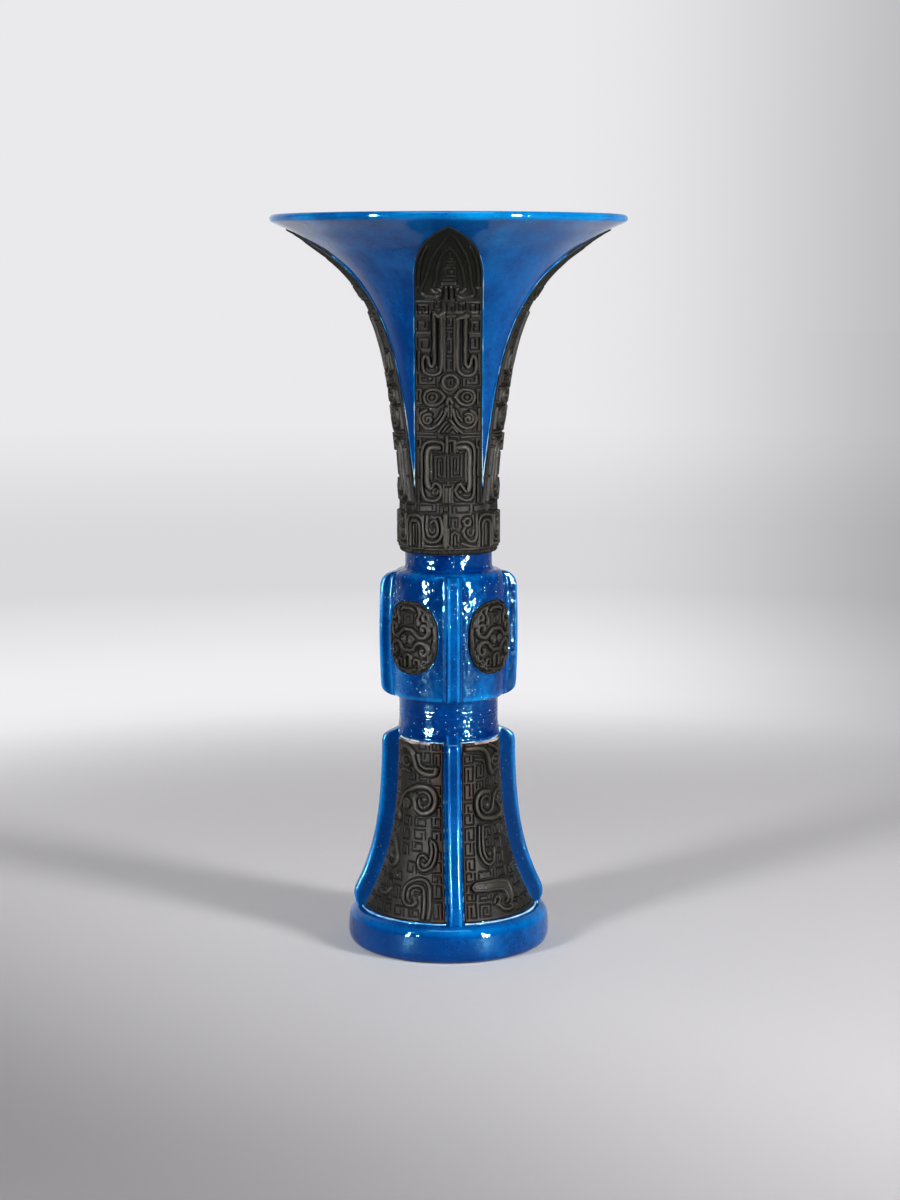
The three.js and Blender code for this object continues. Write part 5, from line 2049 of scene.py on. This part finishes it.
@dataclass
class Studio:
    """A plain pale floor that runs out into the background, the lamps and the camera."""

    floor: Colour = (206, 204, 206)
    floor_front_shade: Colour = (112, 110, 112)
    floor_radius: float = 9.0
    sky: Colour = (234, 233, 236)
    room_front: tuple[float, ...] = (0.1, 0.1, 0.104, 1.0)
    room_back: tuple[float, ...] = (0.62, 0.62, 0.64, 1.0)
    mirror_front: tuple[float, ...] = (0.03, 0.03, 0.032, 1.0)
    black: tuple[float, ...] = (0.0, 0.0, 0.0, 1.0)
    depths: Points = ((0.1, 214), (0.16, 241), (0.22, 238), (0.34, 217), (0.5, 218), (0.8, 230), (1.0, 234))
    lens: float = 70.5
    sensor: float = 36.0
    eye: tuple[float, float, float] = (0.00057, -0.89641, 0.26070)
    pitch: float = 8.0717

    def floor_material(self) -> Material:
        """Builds the floor's material, which fades into the background with distance and carries painted
        shade towards the front left.

        Returns:
            The material.
        """
        material, graph = new_material("floor")
        place = graph.place()
        axes = graph.add("ShaderNodeSeparateXYZ", {0: place}).outputs
        reach = graph.add("ShaderNodeVectorMath", {0: place}, operation="LENGTH").outputs["Value"]
        camera, shine = graph.shine()
        behind = graph.span(axes["Y"], -0.1, 0.3)
        faded = graph.math("MAXIMUM", camera, graph.times(shine, behind))
        seen = graph.times(graph.span(reach, 0.2, 0.56), faded)
        # Painted shade: the floor darkens towards the front and the left, for light that falls off there.
        slant = graph.scaled(axes["X"], -0.9, graph.times(axes["Y"], -1.0))
        colour = graph.blend(graph.span(slant, 0.0, 0.44), tint(*self.floor), tint(*self.floor_front_shade))
        plain = graph.add("ShaderNodeBsdfPrincipled",
                          {"Base Color": colour, "Roughness": 0.6, "Specular IOR Level": 0.05})
        # Painted light and shade of the backdrop: the far floor glows in brighter and dimmer bands by
        # distance, and dims towards the right.
        stops = [(at, (level, level - 1, level + 2)) for at, level in self.depths]
        depth = graph.ramp(graph.math("DIVIDE", reach, 3.0), stops)
        aside = graph.math("DIVIDE", axes["X"], graph.math("ADD", graph.math("ABSOLUTE", axes["Y"]), 0.9))
        dimmed = graph.span(aside, 0.04, 0.26, 1.0, 0.5)
        glow = graph.add("ShaderNodeEmission", {"Color": depth, "Strength": dimmed})
        mixed = graph.add("ShaderNodeMixShader", {0: seen, 1: plain.outputs[0], 2: glow.outputs[0]})
        graph.add("ShaderNodeOutputMaterial", {0: mixed.outputs[0]})
        return material

    def build_floor(self) -> None:
        """Builds the floor."""
        bm = bmesh.new()
        bmesh.ops.create_circle(bm, cap_ends=True, segments=96, radius=self.floor_radius)
        mesh = bpy.data.meshes.new("floor")
        bm.to_mesh(mesh)
        bm.free()
        mesh.materials.append(self.floor_material())
        thing = bpy.data.objects.new("floor", mesh)
        bpy.context.scene.collection.objects.link(thing)

    def build_world(self) -> None:
        """Sets a pale background for the camera, and a room that is pale behind the vase and dim in front."""
        world = bpy.data.worlds.new("studio")
        world.use_nodes = True
        bpy.context.scene.world = world
        graph = Graph(world.node_tree)
        way = graph.add("ShaderNodeTexCoord").outputs["Generated"]
        axes = graph.add("ShaderNodeSeparateXYZ", {0: way}).outputs
        # Painted shade: the background seen by the camera dims towards the right.
        seen = graph.blend(graph.span(axes["X"], 0.04, 0.26, 1.0, 0.5), self.black, tint(*self.sky))
        room = graph.blend(graph.span(axes["Y"], -0.35, 0.75), self.room_front, self.room_back)
        mirrored = graph.blend(graph.span(axes["Y"], 0.25, 0.9), self.mirror_front, seen)
        camera, shine = graph.shine()
        colour = graph.blend(camera, graph.blend(shine, room, mirrored), seen)
        light = graph.add("ShaderNodeBackground", {"Color": colour, "Strength": 1.0})
        graph.add("ShaderNodeOutputWorld", {0: light.outputs[0]})

    def build_camera(self) -> None:
        """Stands the camera where the photograph was taken from."""
        camera = bpy.data.cameras.new("camera")
        camera.lens, camera.sensor_width = self.lens, self.sensor
        thing = bpy.data.objects.new("camera", camera)
        thing.location = self.eye
        thing.rotation_euler = (math.radians(90 - self.pitch), 0.0, 0.0)
        bpy.context.scene.collection.objects.link(thing)
        bpy.context.scene.camera = thing

    def build(self) -> None:
        """Builds the floor, the background, the lamps and the camera."""
        bpy.context.scene.view_settings.view_transform = "Standard"
        self.build_floor()
        self.build_world()
        for lamp in LAMPS:
            lamp.hang()
        self.build_camera()


def main() -> None:
    """Builds the studio and the vase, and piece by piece."""
    logging.basicConfig(level=logging.INFO, format="%(message)s")
    Studio().build()
    effects = SharedEffects()
    finishes = {GLAZE: GlazeFinish().build(effects), BISCUIT: BiscuitFinish().build(effects),
                CLAY: ClayFinish().build(effects)}
    trumpet, leaves = Trumpet(), Leaves()
    pieces = [
        *trumpet.build(leaves),
        *leaves.build(trumpet.flare()),
        *Collar().build(),
        *Bulb().build(),
        *Foot().build(),
        *Base().build(),
    ]
    for piece in pieces:
        piece.place(finishes[piece.slot])
    log.info("%d pieces, %d faces", len(pieces), sum(len(piece.mesh.polygons) for piece in pieces))


if __name__ == "__main__":
    main()
